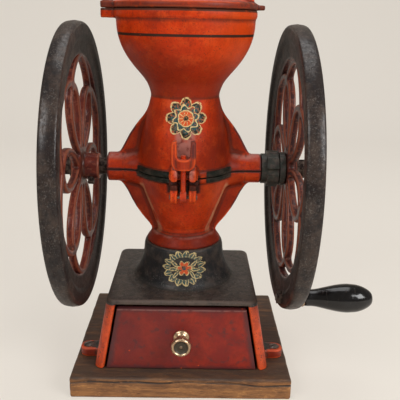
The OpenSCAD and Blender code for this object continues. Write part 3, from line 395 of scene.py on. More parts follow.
def rough(points, size, seed):
    """Value noise from -1 to 1: hashed numbers at lattice corners size apart,
    blended by smooth steps."""
    at = np.asarray(points, float) / size
    cell = np.floor(at).astype(np.int64)
    f = at - cell
    f = f * f * (3 - 2 * f)
    total = 0.0
    for corner in CORNERS:
        c = cell + corner
        h = (
            c[:, 0] * 73856093 ^ c[:, 1] * 19349663 ^ c[:, 2] * 83492791
            ^ seed * 2654435
        ) & 0xFFFFFF
        h = (h * 1103515245 + 12345) & 0x7FFFFFFF
        total = total + (h / 0x3FFFFFFF - 1) * np.where(corner, f, 1 - f).prod(1)
    return total


# ---- pieces -----------------------------------------------------------------


def new_piece(name, points, faces, body, finish, nodes, bend=None,
              weld=False, sharp=None):
    """Puts points in millimetres and faces into a mesh that rides on a body
    and stands for CAD nodes. bend is kept as the attribute "ridge". weld
    merges doubled points and turns the faces outwards."""
    mesh = bpy.data.meshes.new(name)
    points = np.asarray(points, float) * MM
    if isinstance(faces, np.ndarray):
        mesh.vertices.add(len(points))
        mesh.vertices.foreach_set("co", points.astype(np.float32).ravel())
        mesh.loops.add(faces.size)
        mesh.loops.foreach_set("vertex_index", faces.astype(np.int32).ravel())
        mesh.polygons.add(len(faces))
        mesh.polygons.foreach_set(
            "loop_start", np.arange(0, faces.size, faces.shape[1], dtype=np.int32)
        )
        mesh.update(calc_edges=True)
    else:
        mesh.from_pydata(points.tolist(), [], [list(map(int, f)) for f in faces])
    if weld:
        bm = bmesh.new()
        bm.from_mesh(mesh)
        bmesh.ops.remove_doubles(bm, verts=bm.verts, dist=WELD_DISTANCE)
        bmesh.ops.recalc_face_normals(bm, faces=bm.faces)
        bm.to_mesh(mesh)
        bm.free()
    mesh.validate()
    if bend is not None:
        ridge = mesh.attributes.new("ridge", "FLOAT", "POINT")
        ridge.data.foreach_set("value", np.asarray(bend, np.float32))
    mesh.polygons.foreach_set("use_smooth", np.ones(len(mesh.polygons), bool))
    if sharp is not None:
        mesh.set_sharp_from_angle(angle=math.radians(sharp))
    mesh.materials.append(finish)
    piece = bpy.data.objects.new(name, mesh)
    bpy.context.scene.collection.objects.link(piece)
    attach(piece, body)
    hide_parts(*nodes)
    return piece


def eased_copy(node, body, finish, edge):
    """A CAD node's own shape, its doubles merged, with its sharp edges eased
    by a bevel of edge millimetres."""
    mesh = frame["nodes"][node].data.copy()
    mesh.name = node + "_eased"
    bm = bmesh.new()
    bm.from_mesh(mesh)
    bmesh.ops.remove_doubles(bm, verts=bm.verts, dist=DOUBLE_DISTANCE)
    bmesh.ops.dissolve_limit(
        bm, angle_limit=FLAT_ANGLE, verts=bm.verts, edges=bm.edges
    )
    bm.to_mesh(mesh)
    bm.free()
    for p in mesh.polygons:
        p.use_smooth = True
    mesh.set_sharp_from_angle(angle=SHARP_ANGLE)
    mesh.materials.clear()
    mesh.materials.append(finish)
    piece = bpy.data.objects.new(node + "_eased", mesh)
    bpy.context.scene.collection.objects.link(piece)
    ease = piece.modifiers.new("Eased edges", "BEVEL")
    ease.width = edge * MM
    ease.segments = 2
    ease.limit_method = "ANGLE"
    ease.angle_limit = SHARP_ANGLE
    ease.use_clamp_overlap = True
    ease.harden_normals = True
    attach(piece, body)
    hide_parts(node)
    return piece


# ---- sizes and colours ------------------------------------------------------


def length(name, description, default):
    """A length property whose default is given in millimetres."""
    return bpy.props.FloatProperty(
        name=name, description=description, default=default * MM,
        unit="LENGTH", precision=4,
    )


def linear(*rgb):
    """Scene-linear colour of 0-255 display values."""
    c = np.array(rgb) / 255
    return tuple(np.where(c <= 0.04045, c / 12.92, ((c + 0.055) / 1.055) ** 2.4))


def colour(name, description, *rgb):
    """A colour property whose default is given in 0-255 display values."""
    return bpy.props.FloatVectorProperty(
        name=name, description=description, default=linear(*rgb),
        subtype="COLOR", size=3, min=0, max=1,
    )


BOARD_LO, BOARD_HI = node_box("base_board")
FRONT_LO, FRONT_HI = node_box("drawer_front")
KNOB_LO, KNOB_HI = node_box("drawer_knob")
COVER_LO, COVER_HI = node_box("hopper_cover")
CASE_LO, CASE_HI = node_box("lower_casing")
HOPPER_HI = node_box("upper_casing")[1]
WHEEL_LO, WHEEL_HI = node_box("left_wheel")
GRIP_LO, GRIP_HI = node_box("handle_grip")
NUT_LO = node_box("wing_nut")[0]
FERRULE_LO, FERRULE_HI = node_box("handle_ferrule")
BASE_HI = node_box("base_casting")[1]


class MillSizes(bpy.types.PropertyGroup):
    """Sizes of the castings and the woodwork"""

    softness: length("Cast edge", "Rounding of the castings' edges", 1.3)
    fillet: length("Fillet", "Fillets where cast shapes meet", 4)
    wall: length("Hopper wall", "Thickness of the hopper's wall", 4)
    rim_r: length("Rim radius", "Outer radius of the hopper's rim", 65)
    waist_r: length("Waist radius", "Radius between hopper and case", 32.2)
    waist_z: length("Waist height", "Height of the waist over the shaft", 70.6)
    hopper_h: length("Hopper height", "Height of the rim over the shaft",
                     HOPPER_HI[2] - SHAFT_Z)
    case_r: length("Case radius", "Radius of the case by its flange", 44.2)
    case_h: length("Case height", "Depth of the case below the shaft",
                   SHAFT_Z - CASE_LO[2])
    flange_r: length("Flange radius", "Radius of the parting flange", 47.2)
    flange_t: length("Flange", "Thickness of each half of the flange", 5)
    web_t: length("Web", "Thickness of the side webs", 6.5)
    boss_r: length("Boss radius", "Radius of the shaft bosses", 14.1)
    boss_end: length("Boss end", "Where the bosses end", CASE_HI[0])
    shaft_r: length("Shaft radius", "Radius of the shaft", 8)
    groove_z: length("Crack height", "Height of the crack in the board", 16.2)
    groove_d: length("Crack depth", "Depth of the crack in the board", 1.4)
    board_edge: length("Board edge", "Worn rounding of the board", 2.6)
    wheel_r: length("Wheel radius", "Outer radius of the wheels",
                    (WHEEL_HI[2] - WHEEL_LO[2]) / 2)
    tread_w: length("Tread", "Width of the wheels' rims", 15.5)
    spoke_t: length("Spokes", "Thickness of the spokes", 7)
    rib_w: length("Ribs", "Width of the spokes' ribs", 6)
    hub_r: length("Hub radius", "Radius of the wheels' hubs", 12.7)
    foot_w: length("Base width", "Width of the base on the board", 165)
    foot_d: length("Base depth", "Depth of the base on the board", 149)
    lean_w: length("Lean inwards", "How far each side leans in", 12)
    lean_d: length("Lean back", "How far front and back lean in", 8.5)
    base_h: length("Base height", "Height of the box under the pedestal", 68)
    lug_y: length("Lugs", "Distance of the side lugs before the middle", 45)


class MillColours(bpy.types.PropertyGroup):
    """Colours of the paint, wood and metal"""

    red: colour("Red", "Paint of the hopper and the case", 198, 54, 4)
    # Dark red also paints shade: on the castings' sides, above the waist and on the bowl's left
    red_dark: colour("Dark red", "Darkened paint", 112, 30, 12)
    # Orange red also paints highlights on the bowl's right and on the lower case's right
    orange: colour("Orange red", "Fresh paint on edges and wall ends", 216, 80, 26)
    black: colour("Black", "Paint of the plate and the pedestal", 26, 26, 29)
    # Worn iron also paints the highlight along the plate's edge
    rust: colour("Worn iron", "Brown where black paint is worn", 98, 82, 72)
    # Band also darkens the castings' corners, partly as grime and partly as painted shade, and paints shade under
    # the hopper's rim and on its top under the cover
    band: colour("Band", "Dark paint of the flange", 30, 33, 26)
    maroon: colour("Maroon", "Paint of the drawer's front", 122, 28, 22)
    spoke: colour("Spokes", "Paint of the wheels' spokes", 92, 32, 22)
    spoke_edge: colour("Spoke edges", "Rusty edges of the spokes", 128, 70, 50)
    tread: colour("Tread", "Worn paint of the wheels' rims", 37, 29, 27)
    oak: colour("Oak", "Board", 148, 98, 54)
    oak_dark: colour("Dark oak", "Grain of the board", 84, 54, 34)
    tray: colour("Tray wood", "Wood of the tray", 150, 112, 72)
    # Steel also paints sheen specks on the rims
    steel: colour("Steel", "Bare steel", 128, 122, 116)
    brass: colour("Brass", "Knob and ferrule", 208, 176, 142)
    iron: colour("Burr iron", "Grinding parts", 92, 88, 84)
    lacquer: colour("Lacquer", "Grip", 14, 12, 12)
    cream: colour("Cream", "Light colour of the ornaments", 222, 198, 140)
    teal: colour("Teal", "Ground of the ornaments", 36, 76, 78)
    # Dust also paints sheen on upward faces and a highlight along the drawer's top edge
    dust: colour("Dust", "Pale dust on upper faces", 168, 118, 108)
    # Stain also paints shade on the wing nut's right wing and on the drawer's left side
    stain: colour("Stain", "Purple-brown grime by the clamp", 66, 40, 42)
    # Grime also paints the shadow along the cover ring's foot
    grime: colour("Grime", "Dark grime on the board and the cover", 54, 44, 38)
    # Rubbed also paints a glint with dust along the lower case's fillets
    rubbed: colour("Rubbed", "Pale, rubbed places of the red paint", 200, 150, 112)
    floor: colour("Floor", "Floor and backdrop", 226, 219, 209)


def sizes():
    """The sizes in millimetres, by name."""
    group = bpy.context.scene.mill_sizes
    return type("Sizes", (), {
        key: getattr(group, key) / MM for key in group.bl_rna.properties.keys()
        if key not in ("rna_type", "name")
    })


def tints():
    """The colours as four numbers, by name."""
    group = bpy.context.scene.mill_colours
    return type("Tints", (), {
        key: (*getattr(group, key), 1) for key in group.bl_rna.properties.keys()
        if key not in ("rna_type", "name")
    })


# ---- shader maths -----------------------------------------------------------


class Wire:
    """A socket's value in an expression: each operator adds its Math node."""

    def __init__(self, paint, socket):
        self.paint, self.socket = paint, socket

    def math(self, operation, *others):
        return self.paint.node(
            "ShaderNodeMath", {"operation": operation}, dict(enumerate((self, *others)))
        )

    def __add__(self, other):
        return self.math("ADD", other)

    def __mul__(self, other):
        return self.math("MULTIPLY", other)

    __radd__, __rmul__ = __add__, __mul__

    def __sub__(self, other):
        return self.math("SUBTRACT", other)

    def __rsub__(self, other):
        return (self * -1) + other

    def __truediv__(self, other):
        return self.math("DIVIDE", other)

    def __pow__(self, other):
        return self.math("POWER", other)

    def __abs__(self):
        return self.math("ABSOLUTE")

    def least(self, other):
        return self.math("MINIMUM", other)

    def most(self, other):
        return self.math("MAXIMUM", other)

    def below(self, edge, soft):
        """1 well below the edge and 0 well above it, over the width soft."""
        return self.paint.node(
            "ShaderNodeMapRange", {"interpolation_type": "SMOOTHSTEP"},
            {0: self, 1: edge - soft / 2, 2: edge + soft / 2, 3: 1.0, 4: 0.0},
        )

    def above(self, edge, soft):
        """0 well below the edge and 1 well above it, over the width soft."""
        return self.paint.node(
            "ShaderNodeMapRange", {"interpolation_type": "SMOOTHSTEP"},
            {0: self, 1: edge - soft / 2, 2: edge + soft / 2, 3: 0.0, 4: 1.0},
        )


class Paint:
    """A material being made, in millimetres of the object's own space."""

    def __init__(self, name, **constants):
        self.material = bpy.data.materials.new(name)
        self.material.use_nodes = True
        self.tree = self.material.node_tree
        self.shader = self.tree.nodes["Principled BSDF"]
        for key, value in constants.items():
            self.shader.inputs[key.replace("_", " ")].default_value = value
        place = self.node("ShaderNodeTexCoord", out="Object")
        self.place = self.node(
            "ShaderNodeVectorMath", {"operation": "SCALE"}, {0: place, "Scale": 1 / MM}
        )
        split = self.node("ShaderNodeSeparateXYZ", values={0: self.place})
        self.x, self.y, self.z = (
            Wire(self, split.socket.node.outputs[i]) for i in range(3)
        )

    def node(self, kind, settings=None, values=None, out=0):
        """Adds a node: settings first, then its sockets' values or links.
        Returns an output."""
        node = self.tree.nodes.new(kind)
        for key, value in (settings or {}).items():
            setattr(node, key, value)
        for key, value in (values or {}).items():
            if isinstance(value, Wire):
                self.tree.links.new(value.socket, node.inputs[key])
            elif value is not None:
                node.inputs[key].default_value = value
        return Wire(self, node.outputs[out])

    def mix(self, share, one, two, blend="MIX"):
        """Colour one turning into colour two as share goes from 0 to 1."""
        return self.node(
            "ShaderNodeMix", {"data_type": "RGBA", "blend_type": blend},
            {0: share, 6: one, 7: two}, out=2,
        )

    def noise(self, size, detail, stretch=None, rough=0.55, seed=0.0):
        """Noise from 0 to 1 whose blotches are about size millimetres; stretch
        is how many times longer they are along each axis."""
        place = self.place
        if stretch or seed:
            place = self.node(
                "ShaderNodeMapping", {"vector_type": "POINT"},
                {0: place, 1: (seed, seed * 1.7, -seed),
                 3: tuple(1 / s for s in stretch or (1, 1, 1))},
            )
        return self.node(
            "ShaderNodeTexNoise", None,
            {0: place, "Scale": 1 / size, "Detail": detail, "Roughness": rough},
        )

    def blotch(self, one, two, share, edge, soft, *size, **noise):
        """Colour one with a share of colour two where noise is over an edge."""
        return self.mix(self.noise(*size, **noise).above(edge, soft) * share, one, two)

    def spots(self, size, seed=0.0):
        """Distance to scattered points, in shares of their spacing."""
        place = self.node(
            "ShaderNodeMapping", {"vector_type": "POINT"},
            {0: self.place, 1: (seed,) * 3},
        )
        return self.node("ShaderNodeTexVoronoi", None, {0: place, "Scale": 1 / size})

    def ridge(self):
        """The castings' bend attribute: above 0 on edges, below in corners."""
        return self.node(
            "ShaderNodeAttribute", {"attribute_name": "ridge"}, out="Fac"
        )

    def facing(self, axis):
        """The surface's own direction along an axis."""
        normal = self.node("ShaderNodeTexCoord", out="Normal")
        split = self.node("ShaderNodeSeparateXYZ", values={0: normal})
        return Wire(self, split.socket.node.outputs[axis])

    def bump(self, height, depth):
        """Relief of a height field, depth millimetres high."""
        return self.node(
            "ShaderNodeBump", None, {"Height": height, "Distance": depth * MM,
                                     "Strength": 1.0},
        )

    def finish(self, base, rough=None, bump=None, metal=None, coat=None):
        """Links what varies over the surface and returns the material."""
        for key, value in (("Base Color", base), ("Roughness", rough),
                           ("Metallic", metal), ("Coat Weight", coat),
                           ("Normal", bump)):
            if isinstance(value, Wire):
                self.tree.links.new(value.socket, self.shader.inputs[key])
            elif value is not None:
                self.shader.inputs[key].default_value = value
        return self.material


# ---- castings ---------------------------------------------------------------

# Profiles of the bell as radius and height over the shaft, and outlines of the
# webs as distance along the shaft and height
OUTER_BELL = [
    (34.2, 78.1), (35.9, 81.9), (38.3, 85.6), (41.3, 89.3), (44.4, 92.9),
    (47.6, 96.6), (50.5, 100.3), (53.1, 103.9), (55.3, 107.5), (57.3, 111.1),
    (59, 114.7), (60.4, 118.3), (61.5, 121.9), (62.4, 125.4), (63, 129),
    (63.5, 134),
]
INNER_BELL = [
    (61.9, 125), (60.2, 119), (57.8, 113), (54.8, 107.5), (51, 102),
    (46.2, 96), (41, 90), (36.4, 84.4), (33.6, 79.4),
]
LOWER_WEB = [
    (0, -2), (58, -2), (62, -12), (60.7, -15.8), (55.7, -24), (51.8, -32.3),
    (47.2, -40.7), (41.4, -49.1), (34.6, -57.4), (31, -63), (0, -63),
]
UPPER_WEB = [
    (0, 2), (58, 2), (62.2, 13), (61.7, 16.5), (57.4, 24.4), (53.2, 32.3),
    (48, 40.1), (42.6, 47), (37.8, 52.6), (32.5, 58.5), (0, 60),
]

# Places and sizes of the clamp, the hinge, the wall and spaces round feed screw
# and burrs, the cover's pivot, and the wheels
CLAMP_Y, SLOT_HALF, EAR_W, PIN_DROP = 57, 5.1, 6.5, 14
HINGE_Y, KNUCKLE_HALF = 55, 9
PART_X, BURR_END, SCREW_SPACE, BURR_SPACE = 6, 22.1, 13.7, 27
PIVOT_X, PIVOT_R = 71, 7
WHEEL_X, RIM_DEPTH = 102.3, 31

# Gap round the shaft, rounding of a hole's edge, and the radius of a pin's hole
# where the pin is held and where the piece turns on it
BORE_GAP, HOLE_EDGE, HELD_R, TURNING_R = 0.05, 0.6, 2.5, 2.55


def shaft_space(P, s):
    """Bore of the shaft and the round spaces of feed screw and burrs."""
    X, Y, Z = P
    return np.minimum(
        np.hypot(Y, Z) - s.shaft_r - BORE_GAP + 0 * X,
        np.minimum(
            rod(X, Y, Z, -33, PART_X + 1, SCREW_SPACE),
            rod(X, Y, Z, PART_X, BURR_END, BURR_SPACE),
        ),
    )


def side_arms(P, s, web):
    """Webs and shaft bosses of both sides, joined by fillets."""
    X, Y, Z = P
    arms = slab(polygon(abs(X), Z, web), Y, s.web_t / 2, s.softness)
    neck = np.hypot(Y, Z) - np.interp(abs(X), [40, 55], [s.boss_r + 4.5, s.boss_r])
    neck = np.maximum(neck, abs(abs(X) - 45) - 12)
    boss = join(rod(abs(X), Y, Z, 34, s.boss_end, s.boss_r, 1.6), neck, 2)
    return join(arms, boss, s.fillet)


def hopper_field(s, step):
    """Upper casting, heights from the shaft: a turned bell filled and joined to
    its webs, bosses, pad and rim, less the turned inside and the bores."""
    P = X, Y, Z = lattice((-80, -66, -8), (77, 65, 150), step)
    e, h, ft = s.softness, s.hopper_h, s.flange_t
    outer = [
        (0, 0), (s.flange_r, 0), (s.flange_r, ft - 1.4), (s.flange_r - 1.4, ft),
        (s.case_r, ft + 0.9), (s.case_r - 0.2, 11), (s.case_r - 1.1, 22),
        (s.case_r - 3.4, 35), (38.2, 45), (35.6, 55.5), (33.9, 63),
        (s.waist_r + 0.4, s.waist_z - 2.2), (s.waist_r, s.waist_z),
        (s.waist_r + 0.6, s.waist_z + 3.4), *OUTER_BELL, (63.6, h - 9),
        (63.9, h - 7.6), (s.rim_r - 0.3, h - 6.6), (s.rim_r, h - 5.8),
        (s.rim_r, h - 1.6), (s.rim_r - 0.5, h - 0.5), (s.rim_r - 1.6, h), (0, h),
    ]
    bowl = [
        (0, h + 9), (s.rim_r - 2, h + 9), (s.rim_r - 4, h - 0.4),
        (63.5 - s.wall, h - 4), (63.2 - s.wall, 131),
        *[(r - s.wall, z) for r, z in INNER_BELL],
        (s.waist_r - s.wall, s.waist_z + 1.6), (s.waist_r - s.wall, s.waist_z - 3),
        (31, 55), (33.6, 45), (s.case_r - 8, 35), (s.case_r - 5.7, 22),
        (s.case_r - 5, 11), (s.case_r - 4.8, 0), (s.case_r - 4.8, -9), (0, -9),
    ]
    field = turned(P, outer)
    field = join(field, side_arms(P, s, UPPER_WEB), s.fillet)
    pad = block(P, (-13.1, -53.5, 0), (13.1, -37.5, ft + 1.5), e)
    field = join(field, pad, 2)
    field = rounded(field, -Z, 0.7)
    ears = block(
        (abs(X), Y, Z), (SLOT_HALF, -62, 0.6), (SLOT_HALF + EAR_W, -40, 11.4), 2.2
    )
    field = join(field, ears, 1.5)
    knuckle = join(
        rod(X, Y - HINGE_Y, Z, -KNUCKLE_HALF, KNUCKLE_HALF, 6, e),
        block(P, (-KNUCKLE_HALF, 40, 0.2), (KNUCKLE_HALF, HINGE_Y, 6), e), 1,
    )
    field = join(field, knuckle, 1.5)
    lug = join(
        rod(Z, X + PIVOT_X, Y, h - 8.3, h, PIVOT_R, 1),
        block(P, (-PIVOT_X, -PIVOT_R, h - 8.3), (-s.rim_r + 4, PIVOT_R, h), 1), 0.5,
    )
    field = join(field, lug, 2)
    inside = turned(P, bowl)
    wall = meet(rod(X, Y, Z, PART_X - 5, PART_X, s.case_r - 2), inside - 0.5)
    field = np.minimum(cut(field, inside, 1), meet(wall, -Z))
    for hole in (
        shaft_space(P, s),
        block(P, (-SLOT_HALF, -70, -9), (SLOT_HALF, -52.5, 16.4), 0.4),
        np.hypot(Y - HINGE_Y, Z) - TURNING_R + 0 * X,
        rod(Z, X + PIVOT_X, Y, h - 9, h + 9, HELD_R),
    ):
        field = cut(field, hole, HOLE_EDGE)
    return field, P


def case_field(s, step):
    """Lower casting, heights from the shaft: a turned bowl on a foot ring, with
    webs, bosses, the clamp's ears and the hinge's outer knuckles."""
    P = X, Y, Z = lattice((-77, -65, -75), (77, 65, 8), step)
    e, h, ft = s.softness, -s.case_h, s.flange_t
    outer = [
        (0, h), (36.5, h), (36.8, h + 0.4), (36.6, h + 1.6), (34.3, h + 4.8),
        (31.9, h + 8.6), (30.6, h + 9.6), (28.6, h + 10), (26.9, -60.6),
        (27.3, -56), (29.2, -51.3), (32.2, -42), (35.6, -32.6), (39, -23.5),
        (s.case_r - 2.6, -15), (s.case_r - 0.8, -8), (s.case_r, -ft - 0.9),
        (s.flange_r - 1.4, -ft), (s.flange_r, 1.4 - ft), (s.flange_r, 0), (0, 0),
    ]
    bowl = [
        (0, h - 5), (21, h - 5), (21, -60), (22, -57), (24.6, -50), (28.6, -41),
        (33, -30), (36.6, -20), (s.case_r - 5.4, -10), (s.case_r - 4.8, 0),
        (s.case_r - 4.8, 9), (0, 9),
    ]
    field = turned(P, outer)
    field = join(field, side_arms(P, s, LOWER_WEB), s.fillet)
    pad = block(P, (-13.1, -53.5, -ft), (13.1, -37.5, 0), e)
    field = join(field, pad, 2)
    field = rounded(field, Z, 0.7)
    A = abs(X), Y, Z
    ears = join(
        block(A, (SLOT_HALF, -CLAMP_Y, -20.4), (SLOT_HALF + EAR_W, -41, -10), 1.4),
        join(
            rod(abs(X), Y + CLAMP_Y - 1, Z + PIN_DROP, SLOT_HALF,
                SLOT_HALF + EAR_W, 6.4, 1.4),
            block(A, (SLOT_HALF, -60, -PIN_DROP), (SLOT_HALF + EAR_W, -54, -2.8), 1.4),
            1,
        ),
        1,
    )
    field = join(field, ears, 2)
    knuckles = join(
        rod(abs(X), Y - HINGE_Y, Z, KNUCKLE_HALF + 0.3, KNUCKLE_HALF + 8, 6, e),
        block(A, (KNUCKLE_HALF + 0.3, 40, -6), (KNUCKLE_HALF + 8, HINGE_Y, 0), e), 1,
    )
    field = join(field, knuckles, 1)
    inside = turned(P, bowl)
    shelf = np.minimum(
        rod(X, Y, Z, -38, PART_X, SCREW_SPACE + 3.8),
        rod(X, Y, Z, PART_X - 5, PART_X, s.case_r - 2),
    )
    shelf = meet(meet(shelf, inside - 0.5), Z)
    field = np.minimum(cut(field, inside, 1), shelf)
    for hole in (
        shaft_space(P, s),
        block(P, (-SLOT_HALF, -70, -26), (SLOT_HALF, -52.5, 9), 0.4),
        block(P, (-KNUCKLE_HALF - 0.3, 48.6, -9), (KNUCKLE_HALF + 0.3, 66, 9), 0.4),
        np.hypot(Y - HINGE_Y, Z) - HELD_R + 0 * X,
        rod(X, Y + CLAMP_Y, Z + PIN_DROP, -20, 20, 1.6),
    ):
        field = cut(field, hole, HOLE_EDGE)
    return field, P


def base_field(s, step):
    """Base casting: a hollow box whose walls lean in, a round-edged top plate,
    a turned pedestal and three screw lugs, open at the front for the drawer."""
    P = X, Y, Z = lattice((-102, -78, 18), (102, 92, 132), step)
    foot, top, under, seat = BOARD_HI[2], 89, 83.6, BASE_HI[2]
    slope, wall, wall_end = 0.985, 5, 9.2
    lug_r, lug_h, lug_sink = 8, 9.5, 3
    half_x = s.foot_w / 2 - s.lean_w / s.base_h * (Z - foot)
    half_y = s.foot_d / 2 - s.lean_d / s.base_h * (Z - foot)

    def walls(dx, dy, corner):
        u, v = abs(X) - half_x + dx + corner, abs(Y) - half_y + dy + corner
        return (
            np.hypot(np.maximum(u, 0), np.maximum(v, 0))
            + np.minimum(np.maximum(u, v), 0) - corner
        ) * slope

    field = rounded(walls(0, 0, 8), Z - top, 2.6)
    h = seat - top
    pedestal = [
        (0, -2.7), (55, -2.7), (56, 0), (52.4, 0.6), (49.5, 2), (47, 4.7),
        (45.6, 7.8), (43.2, 14), (41.2, 20.3), (39.9, 27.3), (39.4, 33.5),
        (38.9, h - 3.2), (38.2, h - 1.2), (37.2, h), (0, h),
    ]
    pedestal = [(r, z + top) for r, z in pedestal]
    field = join(field, turned(P, pedestal), 2)
    bolts = 99.0
    for U, V, reach in (
        (abs(X), Y + s.lug_y, s.foot_w / 2 + 9), (Y, X, s.foot_d / 2 + 7),
    ):
        lug = join(
            rod(Z, U - reach, V, foot - lug_sink, foot + lug_h, lug_r, 1.6),
            block((U, V, Z), (reach - 17, -lug_r, foot - lug_sink),
                  (reach, lug_r, foot + lug_h), 1.6),
            0.5,
        )
        field = join(field, lug, 3)
        bolts = np.minimum(bolts, np.hypot(U - reach, V))
    field = rounded(field, foot - Z, 0.6)
    front = np.maximum(walls(wall, 8, 4), Y)
    back = np.maximum(walls(wall, wall, 4), -Y - 1)
    mouth = np.maximum(abs(X) - half_x + wall_end, Y)
    for hole, soft in (
        (np.maximum(np.minimum(front, back), Z - under), 1.5),
        (np.maximum(mouth, Z - under), 2.6),
        (turned(P, [(0, 80), (42, 80), (41, 90.6), (34.4, 108), (34.4, seat - 5),
                    (0, seat - 5)]), 1),
        (rod(Z, X, Y, 85, 140, 21), 1),
        (bolts - 2.5 - np.clip(Z - foot - 7.1, 0, 3), 0.6),
    ):
        field = cut(field, hole, soft)
    return field, P


def lens(U, V, inset, s):
    """Petal in a sector whose middle is V: two pairs of circles that meet at
    the widest line, drawn in by inset."""
    tip, wide, width = 90.5, 61.5, 20
    a = tip - wide - inset * 1.3
    b = wide - s.hub_r + 2 - inset * 1.6
    w = width - inset
    ra, rb = (a * a + w * w) / (2 * w), (b * b + w * w) / (2 * w)
    return np.where(
        V > wide,
        np.hypot(abs(U) + ra - w, V - wide) - ra,
        np.hypot(abs(U) + rb - w, V - wide) - rb,
    )


def spokes_field(s, step, turn, hub):
    """Spokes and hub of one wheel about its shaft: six petal-shaped rings and
    the arches from their tips to the rim, in one sector repeated six times;
    hub is where it starts and ends along X from the rim's middle."""
    rim_in = s.wheel_r - RIM_DEPTH
    reach = s.wheel_r - (RIM_DEPTH - 5)
    P = X, Y, Z = lattice(
        (min(hub[0], -s.spoke_t / 2) - 2, -reach, -reach),
        (max(hub[1], s.spoke_t / 2) + 2, reach, reach), step,
    )
    radius = np.hypot(Y, Z)
    angle = np.arctan2(-Y, Z) - math.radians(turn)
    sector = math.radians(60)
    angle = (angle + sector / 2) % sector - sector / 2
    U, V = radius * np.sin(angle), radius * np.cos(angle)
    ring = cut(lens(U, V, 0, s), lens(U, V, s.rib_w, s), 1)
    tip = np.array([0, 88.5])
    end = np.array([rim_in * 0.5, rim_in * math.cos(sector / 2) + 1])
    along = end - tip
    c = np.linalg.norm(along) / 2
    along /= 2 * c
    rho = 62
    o = (tip + end) / 2 + math.sqrt(rho**2 - c**2) * np.array([along[1], -along[0]])
    arch = abs(np.hypot(abs(U) - o[0], V - o[1]) - rho) - s.rib_w / 2
    arch = np.maximum(arch, 80 - V)
    flat = join(join(ring, arch, 5), radius - s.hub_r - 6, 5)
    flat = np.maximum(flat, radius - rim_in - 4)
    field = slab(flat, X, s.spoke_t / 2, 1.9)
    field = join(field, rod(X, Y, Z, hub[0], hub[1], s.hub_r, 1.4), s.fillet)
    bore = np.hypot(Y, Z) - s.shaft_r - BORE_GAP + 0 * X
    return cut(field, bore, HOLE_EDGE), P


def cover_field(s, step):
    """Cover from its underside up: a turned dome on a flat ring, the pivot's
    lug, a tab, and the upright thumb lug."""
    P = X, Y, Z = lattice((-80, -67, -2), (74, 67, COVER_HI[2] - COVER_LO[2] + 2), step)
    r, t, rise, wall = s.rim_r, 6.2, 20, 3.2
    dome = [(12, 0.12), (19, 0.42), (28, 0.7), (39, 0.88), (52, 0.98), (r, 1)]
    top = [(r - 1, 0), (r, 0.9), (r, t - 2), (r - 0.8, t - 0.7), (r - 2.6, t),
           (r - 8, t + 0.4)]
    outer = [(0, 0), *top, *[(r - a, t + rise * b) for a, b in dome]]
    under = [(0, -5), (r - 6.5, -5), (r - 6.5, 0.4), (r - 10, t - wall)]
    under += [(r - a - (2 if a < 15 else 1.4), t + rise * b - wall)
              for a, b in dome[:-1]]
    field = turned(P, outer)
    lug = join(
        rod(Z, X + PIVOT_X, Y, 0, t, PIVOT_R, 1),
        block(P, (-PIVOT_X, -PIVOT_R, 0), (-r + 5, PIVOT_R, t), 1), 0.5,
    )
    tab = join(
        block(P, (r - 6, -6, 0), (r + 5, 6, 4.4), 1.2),
        rod(Z, X - r - 5, Y, 0, 4.4, 2, 1), 0.5,
    )
    x = r - 9.7
    thumb = join(
        block(P, (x - 6.3, -2.4, t - 3), (x + 6.3, 2.4, t + 15), 1.2),
        rod(Y, X - x, Z - t - 15, -2.4, 2.4, 6.3, 1.2), 0.5,
    )
    field = join(join(join(field, lug, 2), tab, 2), thumb, 3)
    field = cut(field, turned(P, under), 1)
    hole = np.hypot(X + PIVOT_X, Y) - TURNING_R + 0 * Z
    return cut(field, hole, HOLE_EDGE), P


def wing_nut_field(step):
    """Clamp's nut from its seat up: a round hub and a U with upright wings."""
    P = X, Y, Z = lattice((-13, -9, -2), (13, 9, 28), step)
    w, hub, high, wing = 11.2, 10, 25.5, 5.6
    body = polygon(
        abs(X), Z,
        [(0, 0), (w - 6, 0), (w - 3.2, 1.2), (w - 1.4, 3.2), (w - 0.3, 6.2), (w, 9.5),
         (w - 0.2, high - 2), (w - 1.6, high), (w - wing + 1, high),
         (w - wing + 0.6, high - 1), (w - wing, hub + 2), (w - wing - 2.4, hub - 1.5),
         (0, hub - 1.8)],
    )
    field = join(slab(body, Y, 4.25, 1.5), rod(Z, X, Y, 0, hub, 7.2, 1.2), 1.5)
    field = rounded(field, np.hypot(X, Y) - w - 0.4 + 0 * Z, 1)
    return cut(field, np.hypot(X, Y) - 2.35 + 0 * Z, 0.4), P


# ---- wood, drawer, knob, grip and rims --------------------------------------


def board_shape(s):
    """Board: a round-edged block. Its front face carries a crack, a groove
    whose height wanders as a sum of sines, and all faces wander by noise."""
    lo, hi = BOARD_LO, BOARD_HI
    points, faces = soft_block(lo, hi, s.board_edge, (2.5, 2.5, 0.7))
    x, y, z = points.T
    height = s.groove_z + 0.8 * np.sin(x / 17) + 0.5 * np.sin(x / 7.3 + 1)
    height = height + 1.3 * np.sin(x / 41 + 2)
    crack = np.exp(-(((z - height) / 0.75) ** 2)) * (0.6 + 0.4 * np.sin(x / 23) ** 2)
    front = np.clip((lo[1] + 3 - y) / 3, 0, 1)
    y = y + s.groove_d * crack * front
    worn = rough(points, 16, 3) * 0.5 + rough(points, 5, 4) * 0.18
    inward = np.sign(points) * np.array([1, 1, 0])
    edge = np.clip((abs(points[:, :2]) - np.array(hi[:2]) + 2.2) / 2.2, 0, 1)
    push = (worn + 0.55)[:, None] * inward[:, :2] * edge * 0.8
    corner = np.clip((z - hi[2] + 2.2) / 2.2, 0, 1) * edge.max(1)
    z = z - corner * (0.5 + worn) * 0.9
    return np.stack([x - push[:, 0], y - push[:, 1], z], 1), faces


def front_line(s, z):
    """Y of the sloped front z above the board."""
    return -s.foot_d / 2 + 0.6 + s.lean_d / s.base_h * z


